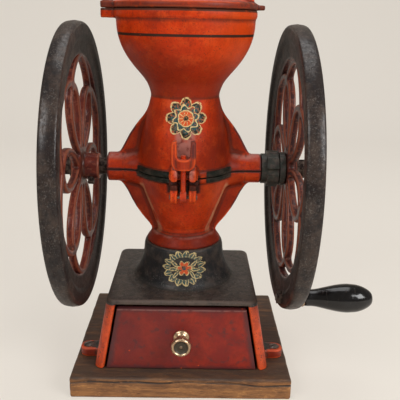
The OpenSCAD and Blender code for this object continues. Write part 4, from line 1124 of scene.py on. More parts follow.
def front_shape(s):
    """Drawer's front: a round-edged block leaned by a shear of Y with height
    and narrowed upwards, its face a little uneven."""
    lo, hi = FRONT_LO, FRONT_HI
    thick = 7.0
    box_lo = np.array([lo[0], 0, lo[2]])
    box_hi = np.array([hi[0], thick, hi[2]])
    points, faces = soft_block(box_lo, box_hi, 1.4, (2.5, 3.5, 2.5))
    x, y, z = points.T
    x = x * (1 - s.lean_w / s.base_h * (z - lo[2]) / hi[0])
    y = y + lo[1] + s.lean_d / s.base_h * (z - lo[2])
    y = y + np.where(points[:, 1] < 1, 0.12 * (1 + rough(points, 14, 8)), 0)
    return np.stack([x, y, z], 1), faces


def knob_shape(s):
    """Knob: a turned profile of seat, rosette, neck and dished head, along -Y
    from the drawer's front."""
    r = (KNOB_HI[0] - KNOB_LO[0]) / 2
    height = (KNOB_HI[2] + KNOB_LO[2]) / 2
    face = -front_line(s, height - BOARD_HI[2])
    reach = -KNOB_LO[1] - face
    outline = soft_corners([
        (0, -1.5), (7.4, -1.5), (7.7, 0.9), (7.2, 1.7), (5.4, 2.7), (4.2, 4),
        (3.8, 6.6), (4.4, reach - 9), (6.4, reach - 7), (r - 0.6, reach - 5.4),
        (r, reach - 3.6), (r - 0.2, reach - 1.6), (r - 1.1, reach - 0.3),
        (r - 2, reach), (r - 2.8, reach - 0.8), (4.4, reach - 2.6),
        (1.8, reach - 2.4), (1.2, reach - 1.7), (0, reach - 1.5),
    ], 1.2, 4)
    points, faces = lathe(outline, 72, axis=2)
    x, y, z = points.T
    return np.stack([x, -z - face, y + height], 1), faces


def grip_shape():
    """Grip: a turned profile with a short neck, a full belly and a rounded end
    that is sunk round the bolt's head."""
    n = GRIP_HI[0] - GRIP_LO[0]
    R = (GRIP_HI[2] - GRIP_LO[2]) / 2
    neck = 8.0
    belly = curve([
        (neck, n * 0.04), (neck, n * 0.12), (neck + 0.9, n * 0.21),
        (neck + (R - neck) * 0.45, n * 0.32), (neck + (R - neck) * 0.7, n * 0.42),
        (neck + (R - neck) * 0.9, n * 0.52), (R, n * 0.62), (R - 0.2, n * 0.69),
        (R * 0.94, n * 0.78), (R * 0.81, n * 0.87), (R * 0.62, n * 0.945),
        (R * 0.46, n * 0.985), (R * 0.36, n),
    ], 4)
    outline = np.vstack([
        [(3.3, 0), (neck - 0.7, 0), (neck - 0.2, 0.4)], belly,
        [(4.5, n - 0.3), (4.4, n - 3.9), (3.3, n - 4.1)],
    ])
    return lathe(outline, 96, axis=0, centre=(GRIP_LO[0], GRIP_Y, GRIP_Z))


def ferrule_shape():
    """Ferrule: a ring with a half-round face."""
    a = np.linspace(0, math.pi, 9)
    w = FERRULE_HI[0] - FERRULE_LO[0]
    R = (FERRULE_HI[2] - FERRULE_LO[2]) / 2
    face = np.stack([R - 1.2 + 1.2 * np.sin(a), w / 2 * (1 - np.cos(a))], 1)
    outline = np.vstack([[(3.3, 0)], face, [(3.3, w)]])
    return lathe(outline, 72, axis=0, centre=(FERRULE_LO[0], GRIP_Y, GRIP_Z))


def rim_shape(s, x):
    """Wheel's rim: a turned profile of rounded tread, side faces that step in
    towards the spokes, and a narrow inner edge."""
    h, R, inner = s.tread_w / 2, s.wheel_r, s.wheel_r - RIM_DEPTH
    side = [
        (inner, 0), (inner, h - 4.6), (inner + 3, h - 3.4), (R - 18, h - 3),
        (R - 15, h - 1.2), (R - 12.4, h), (R - 2.2, h), (R - 0.8, h - 1.8),
        (R, 0),
    ]
    side = soft_corners(side, (1, 1, 1, 2, 1.4, 1.4, 1.6, 2.4, 1))
    outline = np.vstack([side, side[::-1][1:-1] * (1, -1)])[::-1]
    return lathe(outline, 256, axis=0, centre=(x, 0, SHAFT_Z))


def handle_boss_shape(x):
    """Boss of the handle's bolt: a turned ring standing out of the rim."""
    outline = soft_corners([
        (3.2, -4.7), (9.6, -4.7), (10, -4), (10, 9), (9, 9.75), (3.2, 9.75),
        (3.2, -4.6),
    ], 0.6, 4)
    return lathe(outline, 64, axis=0, centre=(x, GRIP_Y, GRIP_Z))


# ---- finishes ---------------------------------------------------------------


def ellipse(u, v, cu, cv, a, b, turn, soft=0.5):
    """Mask of an ellipse with half sizes a and b about (cu, cv)."""
    c, s = math.cos(turn), math.sin(turn)
    du, dv = u - cu, v - cv
    along, across = (du * c + dv * s) / a, (dv * c - du * s) / b
    return ((along * along + across * across) ** 0.5).below(1, soft / min(a, b))


def drawn_on(p, height, shift, seed):
    """Coordinates of an ornament's drawing, wavering a little, and the mask of
    the places where its paint still holds."""
    u = p.x - shift + (p.noise(3.4, 3, seed=seed) - 0.5) * 2.6
    v = p.z - height + (p.noise(3.4, 3, seed=seed + 5.0) - 0.5) * 2.6
    holds = p.noise(2.2, 4, rough=0.75, seed=seed + 9.0).below(0.56, 0.12)
    return u, v, p.facing(1).below(-0.2, 0.1) * holds


def medallion(p, t, base, height):
    """Flower ornament on the bell's front: eight cream petals with teal hearts
    round an orange eye, with scrolls between them."""
    u, v, front = drawn_on(p, height, 1.5, 1.0)
    r = (u * u + v * v) ** 0.5
    angle = v.math("ARCTAN2", u)
    wave = abs((angle * 4).math("COSINE"))
    outer = wave ** 0.6 * 6.4 + 12.2
    out = p.mix((r - outer).below(0, 0.7) * front, base, t.cream)
    out = p.mix((r - outer).below(-1.5, 0.7) * front, out, t.band)
    heart = wave ** 0.8 * 6.2 + 8.8
    out = p.mix((r - heart).below(-1, 0.8) * front, out, t.teal)
    scroll = abs(r - 10.4 - (angle * 8).math("SINE") * 1.6).below(0.7, 0.5)
    out = p.mix(scroll * front, out, t.cream)
    out = p.mix(r.below(7.4, 0.6) * front, out, t.cream)
    out = p.mix(r.below(6.4, 0.6) * front, out, t.orange)
    rays = abs((angle * 5).math("SINE")) * r
    out = p.mix(rays.below(1.3, 0.6) * r.below(6, 0.6) * front, out, t.cream)
    return p.mix(r.below(2.1, 0.6) * front, out, t.band)


def cartouche(p, t, base, height):
    """Ornament on the pedestal's front: a band of leaves whose outline waves
    round an open oval, with a flower in it and sprays to each side."""
    u, v, front = drawn_on(p, height, 1.5, 3.0)
    e = ((u / 20.5) ** 2.0 + (v / 16.5) ** 2.0) ** 0.5
    angle = (v / 16.5).math("ARCTAN2", u / 20.5)
    leaf = abs((angle * 7.5).math("SINE")) * 0.2 + 0.82
    vein = abs((angle * 15).math("SINE")).above(0.35, 0.3)
    band = (e - leaf).below(0, 0.04) * e.above(0.66, 0.04)
    out = p.mix(band * front, base, t.cream)
    out = p.mix(band * vein * (e - leaf).below(-0.07, 0.05) * front, out, t.teal)
    for cu, cv, turn in ((9.3, 3.6, 0.75), (10.6, -1.6, -0.1), (8, -6, -0.9)):
        leafy = ellipse(abs(u), v, cu, cv, 4, 1.7, turn)
        out = p.mix(leafy * front, out, t.cream)
        leafy = ellipse(abs(u), v, cu, cv, 3, 0.8, turn)
        out = p.mix(leafy * front, out, t.teal)
    r = (u * u + v * v) ** 0.5
    petals = abs((v.math("ARCTAN2", u) * 3).math("COSINE")) * 3 + 3.6
    out = p.mix((r - petals).below(1, 0.6) * front, out, t.cream)
    out = p.mix((r - petals).below(0, 0.6) * front, out, t.orange)
    return p.mix(r.below(1.9, 0.5) * front, out, t.teal)


def aged(p, t, base, edge, ridge_share=0.75, dark=0.5, depth=0.22):
    """Wear common to the castings: worn edges, darkening in the corners that
    is partly grime and partly painted shade, and dark pits. Returns colour,
    roughness and relief."""
    ridge = p.ridge()
    patches = p.noise(9, 4, rough=0.6)
    worn = (ridge + (patches - 0.5) * 0.5).above(0.34, 0.3)
    out = p.mix(worn * ridge_share, base, edge)
    # Grime and painted shade in the corners: darker where the bend is below 0
    corner_grime_and_shade = (ridge + (p.noise(6, 3, seed=3.0) - 0.5) * 0.12).below(-0.12, 0.16)
    out = p.mix(corner_grime_and_shade * dark, out, t.band)
    pits = p.spots(2.6).below(0.16, 0.1) * p.noise(14, 2, seed=5.0).above(0.5, 0.12)
    out = p.mix(pits * 0.75, out, t.band)
    rough = p.noise(5, 4, seed=1.0) * 0.26 + 0.3 + worn * 0.12
    relief = p.noise(1.6, 3) * 0.35 + p.noise(7, 3, seed=2.0) - pits * 0.6
    return out, rough, p.bump(relief, depth)


def red_paint(p, t):
    """Orange red that darkens in broad blotches, with fine runs down it."""
    out = p.blotch(t.red, t.red_dark, 0.55, 0.54, 0.26, 38, 4, rough=0.6, seed=4.0)
    out = p.blotch(out, t.orange, 0.55, 0.56, 0.2, 13, 5, rough=0.7)
    out = p.blotch(out, t.red_dark, 0.3, 0.6, 0.16, 3, 4, (1, 1, 5), 0.7, 12.0)
    out = p.blotch(out, t.red_dark, 0.5, 0.62, 0.1, 4, 4, rough=0.75, seed=6.0)
    return p.blotch(out, t.red_dark, 0.3, 0.58, 0.1, 1.5, 3, seed=17.0)


def dust_and_sheen(p, t, out, share):
    """Pale bloom where the surface looks up: partly dust and partly painted sheen on upward faces."""
    up = p.facing(2).above(0.75, 0.4) * p.noise(7, 4, seed=8.0).above(0.42, 0.3)
    return p.mix(up * share, out, t.dust)


def hopper_paint(name, s, t):
    """Red castings: stripe below the rim, dark flange with a bare stretch,
    sides darkened partly as patina and partly as painted shade, painted shade
    above the waist, on the bowl's left, under the rim's bead and on the rim's
    top under the cover, painted highlights on the bowl's right and the lower
    case's right, a painted glint with dust along the lower case's fillets,
    painted shadow behind the clamp's ears, a dark line round the waist, grime
    by the clamp, dark outlines on the webs and a medallion on the bell's front."""
    p = Paint(name, Specular_IOR_Level=0.18)
    out = red_paint(p, t)
    z = p.z - SHAFT_Z
    radius = (p.x * p.x + p.y * p.y) ** 0.5
    # Sides of the case and bell darkened: partly patina, partly painted shade where the round body turns away from
    # the light
    side = abs(p.x).above(26, 20) * z.below(70, 3) * p.noise(18, 3).above(0.3, 0.3)
    out = p.mix(side * 0.38, out, t.red_dark)
    foot = z.below(10 - s.case_h, 2) * p.noise(6, 4, seed=16.0).above(0.3, 0.4)
    out = p.mix(foot * 0.7, out, t.red_dark)
    # Painted shade on the bowl's underside just above the waist
    shade = z.above(s.waist_z + 1, 1) * z.below(s.waist_z + 26, 34)
    out = p.mix(shade * 0.6, out, t.red_dark)
    # Painted shade on the bowl's left side and a painted highlight on its right
    bowl = z.above(s.waist_z, 4) * p.y.below(20, 30)
    left = p.x.below(-14, 50) * z.below(122, 20)
    out = p.mix(bowl * left * p.noise(16, 4, seed=19.0).above(0.35, 0.3) * 0.5, out,
                t.red_dark)
    out = p.mix(bowl * p.x.above(26, 40) * z.above(98, 24) * 0.4, out, t.orange)
    # Painted highlight on the lower case's right front
    painted_highlight_right = p.x.above(14, 26) * abs(z + 20).below(16, 14) * p.y.below(-10, 10)
    out = p.mix(painted_highlight_right * p.noise(9, 4, seed=22.0).above(0.4, 0.3) * 0.45, out, t.orange)
    out = dust_and_sheen(p, t, out, 0.75)
    web = radius.above(s.case_r + 2.5, 2) * abs(z).below(66, 2)
    web = web * abs(p.x).above(20, 4)
    edge = p.mix(web, p.mix(foot, t.orange, t.red_dark), t.stain)
    out, rough, relief = aged(p, t, out, edge)
    waist = abs(z - s.waist_z).below(1.2, 1.8) * p.noise(9, 3).above(0.28, 0.25)
    out = p.mix(waist * 0.6, out, t.band)
    # Painted shade under the rim's bead and painted shadow on the rim's top under the cover
    lip = abs(z - s.hopper_h + 9.4).below(1.2, 2) * 0.4
    lip = z.above(s.hopper_h - 2, 0.9) * 0.9 + lip
    out = p.mix(lip.least(1) * p.noise(12, 3).above(0.3, 0.3), out, t.band)
    stripe = abs(z - STRIPE_Z).below(1.15, 0.4) * radius.above(61, 0.5)
    stripe = stripe * p.noise(3, 3, seed=11.0).below(0.76, 0.1)
    out = p.mix(stripe * 0.95, out, t.band)
    clamp = p.y.below(-30, 4)
    stain = abs(p.x - 1).below(8.5, 5) * abs(z - 26).below(22, 10) * clamp
    bloom = p.mix(p.noise(5, 4, seed=15.0).above(0.42, 0.3), t.stain, t.dust)
    out = p.mix(stain * p.noise(8, 4, seed=2.0).above(0.3, 0.25) * 0.8, out, bloom)
    # Painted shadow behind the clamp's ears by the parting line
    ears = abs(p.x).below(15.5, 3) * abs(z + 6).below(9.5, 3) * p.y.above(-52, 2)
    ears = ears.most(abs(p.x).below(14, 1) * abs(z + 3.6).below(4, 1.6))
    out = p.mix(ears * clamp * 0.9, out, BLACKENED)
    # Painted glint with pale dust along the lower case's fillets by the webs
    fillet_glint_and_dust = abs(p.y + 13).below(3.6, 3) * abs(z + 36).below(25, 12)
    fillet_glint_and_dust = fillet_glint_and_dust * p.noise(5, 4, (1, 1, 6), seed=18.0).above(0.42, 0.16)
    out = p.mix(fillet_glint_and_dust * radius.below(s.case_r, 2) * 0.75, out, t.rubbed)
    seam = abs(z).below(0.7, 0.5) * abs(p.x).above(45, 1)
    out = p.mix(seam * 0.85, out, t.band)
    flange = abs(z).below(s.flange_t + 0.7, 0.5) * radius.above(s.case_r + 0.5, 0.6)
    bare = abs(p.x - 16.4).below(4.4, 1.0) * p.y.below(0, 1)
    ragged = (abs(p.x) + p.noise(4, 3, seed=20.0) * 6 + abs(z) * 0.35).below(49, 2.5)
    flange = flange * (1 - bare) * ragged
    flange = flange * abs(p.x).above(13, 0.6).most(p.y.above(-40, 1))
    wear = p.noise(5, 4, seed=13.0).above(0.55, 0.2) * 0.35
    out = p.mix(flange, out, p.mix(wear, t.band, t.rust))
    out = p.mix(bare * abs(z).below(0.8, 0.5) * 0.9, out, t.band)
    out = medallion(p, t, out, SHAFT_Z + MEDALLION_Z)
    return p.finish(out, rough, relief)


def bolt_paint(name, t):
    """Red paint of the clamp's eye bolt."""
    p = Paint(name, Specular_IOR_Level=0.35)
    out = dust_and_sheen(p, t, red_paint(p, t), 0.55)
    out, rough, relief = aged(p, t, out, t.orange)
    return p.finish(out, rough, relief)


def cover_paint(name, s, t):
    """Cover: dull red, painted shadow along the ring's foot where it sits on the
    rim, dark grime over the lug and the tab, and a cleaner thumb lug."""
    p = Paint(name, Specular_IOR_Level=0.2)
    out = red_paint(p, t)
    z = p.z - COVER_LO[2]
    radius = (p.x * p.x + p.y * p.y) ** 0.5
    thumb = z.above(8, 2) * p.x.above(40, 4)
    out = p.mix(p.noise(16, 4, seed=3.0).above(0.46, 0.3) * 0.4 * (1 - thumb), out,
                t.red_dark)
    out = dust_and_sheen(p, t, out, 0.4)
    out, rough, relief = aged(p, t, out, t.orange)
    # Painted shadow along the ring's foot, where it sits on the hopper's rim
    foot = z.below(1.6, 2) * p.noise(8, 4, seed=5.0).above(0.34, 0.2)
    ends = radius.above(s.rim_r - 0.5, 3) * p.noise(5, 4).above(0.3, 0.25)
    right = p.x.above(42, 26) * radius.above(s.rim_r - 6, 4)
    # This mask carries the painted shadow of the ring's foot together with the grime
    grime = foot.most(ends * 0.9).most(right * p.noise(6, 4, seed=7.0).above(0.4, 0.2))
    out = p.mix(grime * (1 - thumb) * 0.8, out, t.grime)
    return p.finish(out, rough, relief)


def nut_paint(name, t):
    """Wing nut: red paint, rubbed orange on the left wing and the lip, and
    painted shade on the right wing's inner side."""
    p = Paint(name, Specular_IOR_Level=0.3)
    out = p.blotch(red_paint(p, t), t.red_dark, 0.5, 0.35, 0.3, 5, 4, seed=8.0)
    out = dust_and_sheen(p, t, out, 0.4)
    out, rough, relief = aged(p, t, out, t.orange)
    # Painted shade on the right wing's inner side
    dark = p.x.above(4.5, 1.6) * p.z.above(NUT_LO[2] + 11, 4)
    out = p.mix(dark * p.noise(4, 4, seed=5.0).above(0.3, 0.2) * 0.75, out, t.stain)
    return p.finish(out, rough, relief)


def base_paint(name, s, t):
    """Base casting: black plate and pedestal with a cartouche, the plate's
    edge worn grey brown and painted with a highlight along it, and orange-red
    walls, wall ends and lugs."""
    p = Paint(name)
    plate = BOARD_HI[2] + s.base_h
    red = p.blotch(t.orange, t.red, 0.35, 0.54, 0.3, 16, 4, seed=4.0)
    specks = p.spots(3.4, 2.0).below(0.2, 0.1) * p.noise(9, 3).above(0.45, 0.2)
    red = p.mix(specks, p.mix(0.2, red, t.red_dark), t.band)
    red = p.blotch(red, t.red_dark, 0.45, 0.5, 0.2, 7, 5, rough=0.65, seed=9.0)
    lug = abs(p.x).above(s.foot_w / 2 + 1, 2).most(p.y.above(s.foot_d / 2 + 1, 2))
    red = p.mix(lug * p.noise(5, 4, seed=12.0).above(0.2, 0.3) * 0.85, red,
                t.red_dark)
    black = p.blotch(t.black, t.rust, 0.5, 0.56, 0.2, 14, 5, rough=0.7)
    black = p.blotch(black, t.band, 0.5, 0.6, 0.12, 3, 4, rough=0.7, seed=3.0)
    top = p.z.below(plate + 4, 5) * p.facing(2).above(0.7, 0.4)
    black = p.mix(top * p.noise(4, 5, rough=0.75, seed=6.0).above(0.46, 0.24) * 0.4,
                  black, t.rust)
    glints = p.noise(1.7, 3, rough=0.7, seed=10.0).above(0.6, 0.08)
    glints = glints * p.noise(9, 3, seed=11.0).above(0.42, 0.2)
    black = p.mix(glints * p.z.below(plate + 14, 8) * 0.45, black, t.steel)
    # Plate's edge: partly worn paint, partly a painted highlight along the rounded edge
    rim = abs(p.z - plate + 1.4).below(1.2, 1.2) * p.noise(4, 4).above(0.35, 0.3)
    black = p.mix(rim * 0.28, black, t.rust)
    upper = p.z.above(plate - 5.6, 0.7)
    lug_top = p.facing(2).above(0.6, 0.3) * p.z.below(plate - 50, 2)
    out = p.mix(upper.most(lug_top), red, black)
    out, rough, relief = aged(p, t, out, p.mix(upper, t.orange, t.rust), 0.7, 0.7,
                              0.4)
    out = cartouche(p, t, out, SHAFT_Z + CARTOUCHE_Z)
    return p.finish(out, rough, relief)


def wheel_paint(name, s, t):
    """Wheels: a dark glossy rim with pale specks along its middle and its edges,
    partly scuffs and partly painted sheen, a painted shade line in the step of
    its face, and maroon spokes and hub with rusty edges."""
    p = Paint(name, Specular_IOR_Level=0.1, Coat_Roughness=0.22)
    z = p.z - SHAFT_Z
    r = (p.y * p.y + z * z) ** 0.5
    tread = p.blotch(t.tread, t.rust, 0.3, 0.5, 0.2, 22, 4, rough=0.6)
    tread = p.blotch(tread, t.black, 0.5, 0.54, 0.16, 5, 4, rough=0.7, seed=2.0)
    # Pale specks on the rim: partly scuffs, partly painted sheen
    sheen_and_scuffs = p.noise(1.3, 4, rough=0.75, seed=7.0).above(0.64, 0.1)
    sheen_and_scuffs = sheen_and_scuffs * p.noise(11, 3, seed=8.0).above(0.42, 0.2)
    tread = p.mix(sheen_and_scuffs * 0.55, tread, t.steel)
    # Painted shade line in the step of the rim's face
    border = abs(r - s.wheel_r + 14).below(2, 1.6)
    tread = p.mix(border * 0.8, tread, BLACKENED)
    grains = p.noise(1.6, 3, rough=0.7, seed=9.0).above(0.6, 0.12)
    tread = p.mix(grains * p.noise(26, 2, seed=14.0).above(0.46, 0.2) * 0.3, tread,
                  t.steel)
    spoke = p.mix(p.x.above(60, 20) * 0.5, t.spoke, t.black)
    spoke = p.blotch(spoke, t.black, 0.6, 0.5, 0.24, 15, 4, seed=5.0)
    spoke = p.blotch(spoke, t.spoke_edge, 0.5, 0.56, 0.14, 4, 4, rough=0.7)
    rim = r.above(s.wheel_r - RIM_DEPTH + 1.5, 1.5)
    out = p.mix(rim, spoke, tread)
    out, rough, relief = aged(p, t, out, p.mix(rim, t.spoke_edge, t.rust), 0.8)
    outer = r.above(s.wheel_r - 3.5, 2)
    gloss = outer * p.noise(2.4, 4, rough=0.65, seed=16.0).above(0.44, 0.3) * 0.5
    gloss = gloss + (1 - rim) * 0.3
    return p.finish(out, rough + 0.1, relief, coat=gloss)


def black_paint(name, t):
    """Worn black of the adjusting nut and the lock ring."""
    p = Paint(name)
    out = p.blotch(t.band, t.rust, 0.4, 0.56, 0.18, 6, 5, rough=0.7)
    out = p.blotch(out, t.stain, 0.4, 0.6, 0.1, 3, 3, seed=3.0)
    relief = p.noise(1.5, 3) * 0.4 + p.noise(6, 3, seed=2.0)
    return p.finish(out, p.noise(5, 3) * 0.3 + 0.28, p.bump(relief, 0.2))


def drawer_paint(name, t):
    """Drawer's front: finely mottled dark red with painted shade towards the
    left side, a dark border, a painted highlight along the top edge and a few
    chips."""
    p = Paint(name, Specular_IOR_Level=0.4)
    lo, hi = FRONT_LO, FRONT_HI
    middle, half = (lo[2] + hi[2]) / 2, (hi[2] - lo[2]) / 2
    out = p.blotch(t.maroon, t.red, 0.3, 0.5, 0.3, 26, 4, rough=0.6)
    out = p.blotch(out, t.red_dark, 0.4, 0.52, 0.2, 3, 4, rough=0.7, seed=3.0)
    # Painted shade: darker towards the left side
    out = p.mix(p.x.below(0, 110) * 0.3, out, t.stain)
    smudges = p.noise(7, 4, rough=0.6, seed=6.0).above(0.62, 0.14)
    out = p.mix(smudges * 0.6, out, t.stain)
    side = hi[0] - 1.5 - abs(p.x) - (p.z - lo[2]) * 0.175
    near = side.least(half - abs(p.z - middle))
    near = near + p.noise(8, 3, seed=4.0) * 5
    out = p.mix(near.below(5.5, 5) * 0.75, out, t.stain)
    chips = p.spots(11, 3.0).below(0.07, 0.04) * p.noise(20, 2).above(0.55, 0.05)
    out = p.mix(chips * 0.85, out, t.orange)
    # Painted highlight along the rounded top edge
    top = abs(p.z - hi[2] + 1.3).below(0.5, 0.5)
    out = p.mix(top * p.noise(5, 3).above(0.4, 0.2) * 0.4, out, t.dust)
    relief = p.noise(2, 3) * 0.5 + p.noise(9, 3, seed=2.0)
    return p.finish(out, p.noise(5, 3) * 0.3 + 0.34, p.bump(relief, 0.22))


def knob_finish(name, t):
    """Brass of the knob: a rubbed ring round a tarnished dish with a bright
    middle, and a worn rosette."""
    p = Paint(name)
    z = p.z - (KNOB_HI[2] + KNOB_LO[2]) / 2
    r = (p.x * p.x + z * z) ** 0.5
    head = p.y.below(KNOB_LO[1] + 6, 1)
    dish = head * r.below((KNOB_HI[0] - KNOB_LO[0]) / 2 - 2.8, 0.7)
    stain = p.noise(2.4, 4, rough=0.65).above(0.52, 0.24)
    dull = dish.most(stain * 0.32) * (1 - head * r.below(1.4, 0.5) * 0.25)
    out = p.mix(dull * 0.93, t.brass, t.band)
    relief = p.noise(0.9, 3) * 0.4 + p.noise(4, 3, seed=2.0)
    return p.finish(out, dull * 0.2 + 0.26, p.bump(relief, 0.08),
                    metal=1 - dull * 0.6)


def wood(name, light, dark, grain, gloss, crack=None, grime=None):
    """Wood whose grain runs along X: stretched noise for the fibres, rings as
    bands of a slanted distance, and dark pores; crack is the height of a dark
    line on the front, and grime the colour that darkens the top."""
    p = Paint(name)
    fibres = p.noise(2.6 * grain, 5, (22, 1, 1), rough=0.7)
    broad = p.noise(16 * grain, 3, (7, 1, 1), seed=4.0)
    rings = ((p.y * 0.35 + p.z * 1.1) / grain + broad * 26).math("SINE") * 0.5 + 0.5
    out = p.mix(rings * 0.35 + fibres.above(0.45, 0.3) * 0.5, light, dark)
    pores = p.noise(1.1, 3, (16, 1, 1), seed=7.0).above(0.64, 0.08)
    out = p.mix(pores * 0.7, out, dark)
    worn = p.noise(12, 4, seed=9.0).above(0.56, 0.2)
    out = p.mix(worn * 0.3, out, dark)
    pale = p.noise(5, 5, (3, 1, 1), seed=14.0).above(0.52, 0.2)
    out = p.mix(pale * 0.32, out, light, "SCREEN")
    if crack:
        line = (p.x / 17).math("SINE") * 0.8 + (p.x / 7.3 + 1).math("SINE") * 0.5
        line = line + (p.x / 41 + 2).math("SINE") * 1.3 + crack
        line = abs(p.z - line).below(0.9, 1.1) * p.y.below(BOARD_LO[1] + 4, 2)
        line = line * p.noise(12, 4, (3, 1, 1), seed=21.0).above(0.38, 0.2)
        out = p.mix(line * 0.9, out, BLACKENED)
        low = p.z.below(crack - 3, 5) * p.noise(14, 4, (4, 1, 1)).above(0.35, 0.3)
        out = p.mix(low * 0.2, out, light, "SCREEN")
        flecks = p.noise(1.8, 4, (3, 1, 1), rough=0.7, seed=23.0).above(0.58, 0.08)
        flecks = flecks * p.noise(24, 3, seed=24.0).above(0.45, 0.15)
        out = p.mix(flecks * 0.6, out, light, "SCREEN")
        top = p.facing(2).above(0.5, 0.5).most(p.z.above(crack + 2.6, 2) * 0.6)
        out = p.mix(top * (p.noise(9, 4, (3, 1, 1), seed=6.0).above(0.4, 0.3) * 0.35
                           + 0.5), out, grime)
    relief = fibres * 1.2 - pores * 0.8 + p.noise(20, 2) * 0.8 + pale * 0.5
    return p.finish(out, fibres * 0.2 + gloss, p.bump(relief, 0.3))


def metal(name, shade, tarnish, polish, size=5.0):
    """Metal with blotches of tarnish that are rougher and less metallic."""
    p = Paint(name)
    stain = p.noise(size, 5, rough=0.65).above(0.5, 0.24)
    out = p.mix(stain * 0.75, shade, tarnish)
    relief = p.noise(0.9, 3) * 0.4 + p.noise(4, 3, seed=2.0)
    return p.finish(out, stain * 0.3 + polish, p.bump(relief, 0.06),
                    metal=1 - stain * 0.45)


def lacquer(name, t):
    """Glossy dark lacquer with fine scratches round the grip."""
    p = Paint(name)
    out = p.blotch(t.lacquer, t.black, 0.6, 0.56, 0.2, 9, 4, rough=0.6)
    scratch = p.noise(1.2, 3, (0.5, 9, 9), seed=3.0).above(0.66, 0.06)
    out = p.mix(scratch * 0.3, out, t.rust)
    return p.finish(out, p.noise(6, 3) * 0.06 + 0.12 + scratch * 0.2,
                    p.bump(p.noise(8, 2) + scratch * -0.1, 0.12))


# ---- operators --------------------------------------------------------------


def casting(name, field, step, lift, body, finish, node, add=None):
    """Skins a field, lifts it to its height, and adds a ready shape to it."""
    fine = step * 1
    values, P = field(fine)
    points, faces, bend = skin(values, P, fine)
    points = points + np.asarray(lift, float)
    if add:
        more, more_faces = add
        faces = [tuple(f) for f in faces.tolist()]
        faces += [tuple(int(i) + len(points) for i in f) for f in more_faces]
        points = np.vstack([points, more])
        bend = np.concatenate([bend, np.zeros(len(more))])
    return new_piece(name, points, faces, body, finish, (node,), bend)


class MILL_OT_board(bpy.types.Operator):
    """Makes the wooden board"""

    bl_idname = "mill.board"
    bl_label = "Board"

    def execute(self, context):
        s, t = sizes(), tints()
        points, faces = board_shape(s)
        finish = wood("Oak board", t.oak, t.oak_dark, 1.3, 0.5, s.groove_z, t.grime)
        new_piece("board", points, faces, "base", finish, ("base_board",),
                  weld=True)
        return {"FINISHED"}


class MILL_OT_base(bpy.types.Operator):
    """Makes the cast base with its plate and pedestal"""

    bl_idname = "mill.base"
    bl_label = "Base casting"

    def execute(self, context):
        s, t = sizes(), tints()
        casting("base_shell", lambda step: base_field(s, step), 1.3, (0, 0, 0),
                "base", base_paint("Base paint", s, t), "base_casting")
        return {"FINISHED"}


class MILL_OT_case(bpy.types.Operator):
    """Makes the lower half of the grinding case"""

    bl_idname = "mill.case"
    bl_label = "Lower case"

    def execute(self, context):
        s, t = sizes(), tints()
        casting("casing_shell", lambda step: case_field(s, step), 1.0,
                (0, 0, SHAFT_Z), "base", hopper_paint("Lower casing paint", s, t),
                "lower_casing")
        return {"FINISHED"}


class MILL_OT_hopper(bpy.types.Operator):
    """Makes the hopper with the upper half of the case"""

    bl_idname = "mill.hopper"
    bl_label = "Hopper"

    def execute(self, context):
        s, t = sizes(), tints()
        casting("hopper_shell", lambda step: hopper_field(s, step), 1.25,
                (0, 0, SHAFT_Z), "hopper", hopper_paint("Hopper paint", s, t),
                "upper_casing")
        return {"FINISHED"}


class MILL_OT_cover(bpy.types.Operator):
    """Makes the hopper's cover"""

    bl_idname = "mill.cover"
    bl_label = "Cover"

    def execute(self, context):
        s, t = sizes(), tints()
        casting("cover_shell", lambda step: cover_field(s, step), 1.1,
                (0, 0, COVER_LO[2]), "cover", cover_paint("Cover paint", s, t),
                "hopper_cover")
        return {"FINISHED"}


class MILL_OT_clamp(bpy.types.Operator):
    """Makes the wing nut and dresses its bolt"""

    bl_idname = "mill.clamp"
    bl_label = "Clamp"

    def execute(self, context):
        t = tints()
        casting("wing_nut_shell", wing_nut_field, 0.45,
                (0, -CLAMP_Y, NUT_LO[2]), "clamp_nut",
                nut_paint("Clamp paint", t), "wing_nut")
        eased_copy("eye_bolt", "hopper", bolt_paint("Bolt paint", t), 0.4)
        return {"FINISHED"}


class MILL_OT_wheels(bpy.types.Operator):
    """Makes both wheels, each a turned rim with cast spokes in it"""

    bl_idname = "mill.wheels"
    bl_label = "Wheels"

    def execute(self, context):
        s, t = sizes(), tints()
        finish = wheel_paint("Wheel paint", s, t)
        for side, x, turn, hub, boss in (
            ("left", -WHEEL_X, 21, (-6.75, 20), None),
            ("right", WHEEL_X, 42, (-4.3, 6.75), handle_boss_shape(WHEEL_X)),
        ):
            node = side + "_wheel"
            points, faces = rim_shape(s, x)
            new_piece(side + "_rim", points, faces, "shaft", finish, (node,))
            casting(side + "_spokes",
                    lambda step: spokes_field(s, step, turn, hub), 1.1,
                    (x, 0, SHAFT_Z), "shaft", finish, node, boss)
        return {"FINISHED"}


class MILL_OT_drawer(bpy.types.Operator):
    """Makes the drawer's front and knob and dresses its tray"""

    bl_idname = "mill.drawer"
    bl_label = "Drawer"

    def execute(self, context):
        s, t = sizes(), tints()
        points, faces = front_shape(s)
        new_piece("drawer_face", points, faces, "drawer",
                  drawer_paint("Drawer paint", t), ("drawer_front",),
                  weld=True)
        points, faces = knob_shape(s)
        new_piece("knob", points, faces, "drawer", knob_finish("Brass", t),
                  ("drawer_knob",), sharp=50)
        eased_copy("drawer_tray", "drawer",
                   wood("Tray wood", t.tray, t.oak, 0.8, 0.6), 0.5)
        return {"FINISHED"}


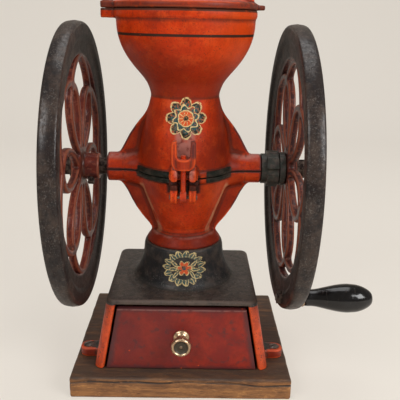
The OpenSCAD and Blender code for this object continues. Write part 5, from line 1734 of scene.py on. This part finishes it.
class MILL_OT_handle(bpy.types.Operator):
    """Makes the grip and its ferrule"""

    bl_idname = "mill.handle"
    bl_label = "Handle"

    def execute(self, context):
        t = tints()
        points, faces = grip_shape()
        new_piece("grip", points, faces, "grip", lacquer("Grip lacquer", t),
                  ("handle_grip",), sharp=50)
        points, faces = ferrule_shape()
        ferrule = metal("Ferrule brass", t.brass, t.oak_dark, 0.22)
        new_piece("ferrule", points, faces, "shaft", ferrule,
                  ("handle_ferrule",), sharp=50)
        return {"FINISHED"}


class MILL_OT_hardware(bpy.types.Operator):
    """Dresses the shaft, screws, pins, nuts and grinding parts"""

    bl_idname = "mill.hardware"
    bl_label = "Hardware"

    def execute(self, context):
        t, groups = tints(), behaviour_bodies()
        steel = metal("Steel", t.steel, t.rust, 0.3)
        dark = metal("Dark steel", t.tread, t.rust, 0.45)
        burr = metal("Burr iron", t.iron, t.rust, 0.42, 8.0)
        black = black_paint("Black nut", t)
        for finish, slot, edge, names in (
            (steel, "steel", 0.35, (
                "base_screws", "foot_screws", "tray_screws", "knob_screw",
                "hinge_pin", "clamp_pin", "pivot_screw", "handle_bolt",
                "burr_key", "burr_screws")),
            (dark, "steel", 0.35, (
                "main_shaft", "hub_set_screws", "end_washers", "end_nuts",
                "handle_nut")),
            (burr, "burr_iron", 0.3, ("fixed_burr", "turning_burr", "feed_screw")),
            (black, "black_iron", 0.8, ("adjusting_nut", "lock_ring")),
        ):
            for name in names:
                eased_copy(name, groups[name], finish, edge)
        return {"FINISHED"}


def behaviour_bodies():
    """Body of each CAD node, by name."""
    groups = frame["record"]["behaviour"]["bodies"]
    return {node: body for body, nodes in groups.items() for node in nodes}


def area_lamp(name, place, target, size, power):
    """Square soft lamp that faces its target."""
    light = bpy.data.lights.new(name, "AREA")
    light.size, light.energy = size, power
    lamp = bpy.data.objects.new(name, light)
    lamp.location = place
    aim = Vector(target) - Vector(place)
    lamp.rotation_euler = aim.to_track_quat("-Z", "Y").to_euler()
    bpy.context.scene.collection.objects.link(lamp)


class MILL_OT_stage(bpy.types.Operator):
    """Makes the floor with its backdrop, the lamps and the camera"""

    bl_idname = "mill.stage"
    bl_label = "Stage"

    def execute(self, context):
        t = tints()
        scene = context.scene
        depth, width = np.linspace(*FLOOR_DEPTH), np.linspace(*FLOOR_WIDTH)
        share = np.maximum(depth - SWEEP_START, 0) / SWEEP_DEPTH
        rise = share**2 * SWEEP_RISE
        Y, X = np.meshgrid(depth, width, indexing="ij")
        Z = np.repeat(rise[:, None], len(width), 1)
        points = np.stack([X, Y, Z], 2).reshape(-1, 3)
        mesh = bpy.data.meshes.new("floor")
        faces = grid_faces(len(depth), len(width), wrap_columns=False)
        mesh.from_pydata(points.tolist(), [], faces.tolist())
        mesh.polygons.foreach_set("use_smooth", np.ones(len(mesh.polygons), bool))
        mesh.materials.append(self.floor_finish(t))
        floor = bpy.data.objects.new("floor", mesh)
        scene.collection.objects.link(floor)

        world = bpy.data.worlds.new("Studio")
        world.use_nodes = True
        shade = world.node_tree.nodes["Background"]
        shade.inputs[0].default_value = t.floor
        path = world.node_tree.nodes.new("ShaderNodeLightPath")
        level = world.node_tree.nodes.new("ShaderNodeMapRange")
        level.inputs["To Min"].default_value = WORLD_LIGHT
        level.inputs["To Max"].default_value = WORLD_SEEN
        world.node_tree.links.new(path.outputs["Is Camera Ray"], level.inputs[0])
        world.node_tree.links.new(level.outputs[0], shade.inputs[1])
        scene.world = world
        for name, place, size, power in LAMPS:
            area_lamp(name, place, LAMP_TARGET, size, power)
        self.add_camera(scene)
        scene.view_settings.view_transform = "Standard"
        return {"FINISHED"}

    def floor_finish(self, t):
        """Pale matt floor that glows a little where the camera sees it."""
        p = Paint("Floor", Roughness=0.9)
        p.finish(p.mix(p.noise(700, 2) * 0.15, t.floor, FLOOR_SHADE))
        glow = p.node("ShaderNodeEmission", None, {0: t.floor, 1: FLOOR_GLOW})
        ray = p.node("ShaderNodeLightPath", out="Is Camera Ray")
        matt = Wire(p, p.shader.outputs[0])
        blend = p.node("ShaderNodeMixShader", None,
                       {0: ray * GLOW_SHARE, 1: matt, 2: glow})
        surface = p.tree.nodes["Material Output"].inputs["Surface"]
        p.tree.links.new(blend.socket, surface)
        return p.material

    def add_camera(self, scene):
        """Camera whose turn is given as yaw, pitch below level, and roll."""
        yaw, pitch, roll = (math.radians(a) for a in CAMERA_TURN)
        look = np.array([
            -math.sin(yaw) * math.cos(pitch), math.cos(yaw) * math.cos(pitch),
            -math.sin(pitch),
        ])
        level = np.array([math.cos(yaw), math.sin(yaw), 0])
        rise = np.cross(level, look)
        right = level * math.cos(roll) + rise * math.sin(roll)
        up = rise * math.cos(roll) - level * math.sin(roll)
        camera = bpy.data.cameras.new("Camera")
        camera.sensor_fit, camera.sensor_width = "HORIZONTAL", CAMERA_SENSOR
        camera.lens, camera.clip_start = CAMERA_LENS, 0.01
        eye = bpy.data.objects.new("Camera", camera)
        eye.matrix_world = Matrix([
            (right[i], up[i], -look[i], CAMERA_PLACE[i])
            for i in range(3)
        ] + [(0, 0, 0, 1)])
        scene.collection.objects.link(eye)
        scene.camera = eye


STEPS = (
    MILL_OT_board, MILL_OT_base, MILL_OT_case, MILL_OT_hopper, MILL_OT_cover,
    MILL_OT_clamp, MILL_OT_wheels, MILL_OT_drawer, MILL_OT_handle,
    MILL_OT_hardware, MILL_OT_stage,
)


class MILL_PT_parts(bpy.types.Panel):
    """Lists the mill's pieces, sizes and colours"""

    bl_idname = "MILL_PT_parts"
    bl_label = "Coffee mill"
    bl_space_type = "VIEW_3D"
    bl_region_type = "UI"
    bl_category = "Mill"

    def draw(self, context):
        layout = self.layout
        for group in (context.scene.mill_sizes, context.scene.mill_colours):
            column = layout.column()
            for key in group.bl_rna.properties.keys():
                if key not in ("rna_type", "name"):
                    column.prop(group, key)
        for step in STEPS:
            layout.operator(step.bl_idname)


CLASSES = (MillSizes, MillColours, *STEPS, MILL_PT_parts)


def register():
    for cls in CLASSES:
        bpy.utils.register_class(cls)
    bpy.types.Scene.mill_sizes = bpy.props.PointerProperty(type=MillSizes)
    bpy.types.Scene.mill_colours = bpy.props.PointerProperty(type=MillColours)


def unregister():
    del bpy.types.Scene.mill_colours
    del bpy.types.Scene.mill_sizes
    for cls in reversed(CLASSES):
        bpy.utils.unregister_class(cls)


def main():
    register()
    for step in STEPS:
        getattr(bpy.ops.mill, step.bl_idname.split(".")[1])()


if __name__ == "__main__":
    main()
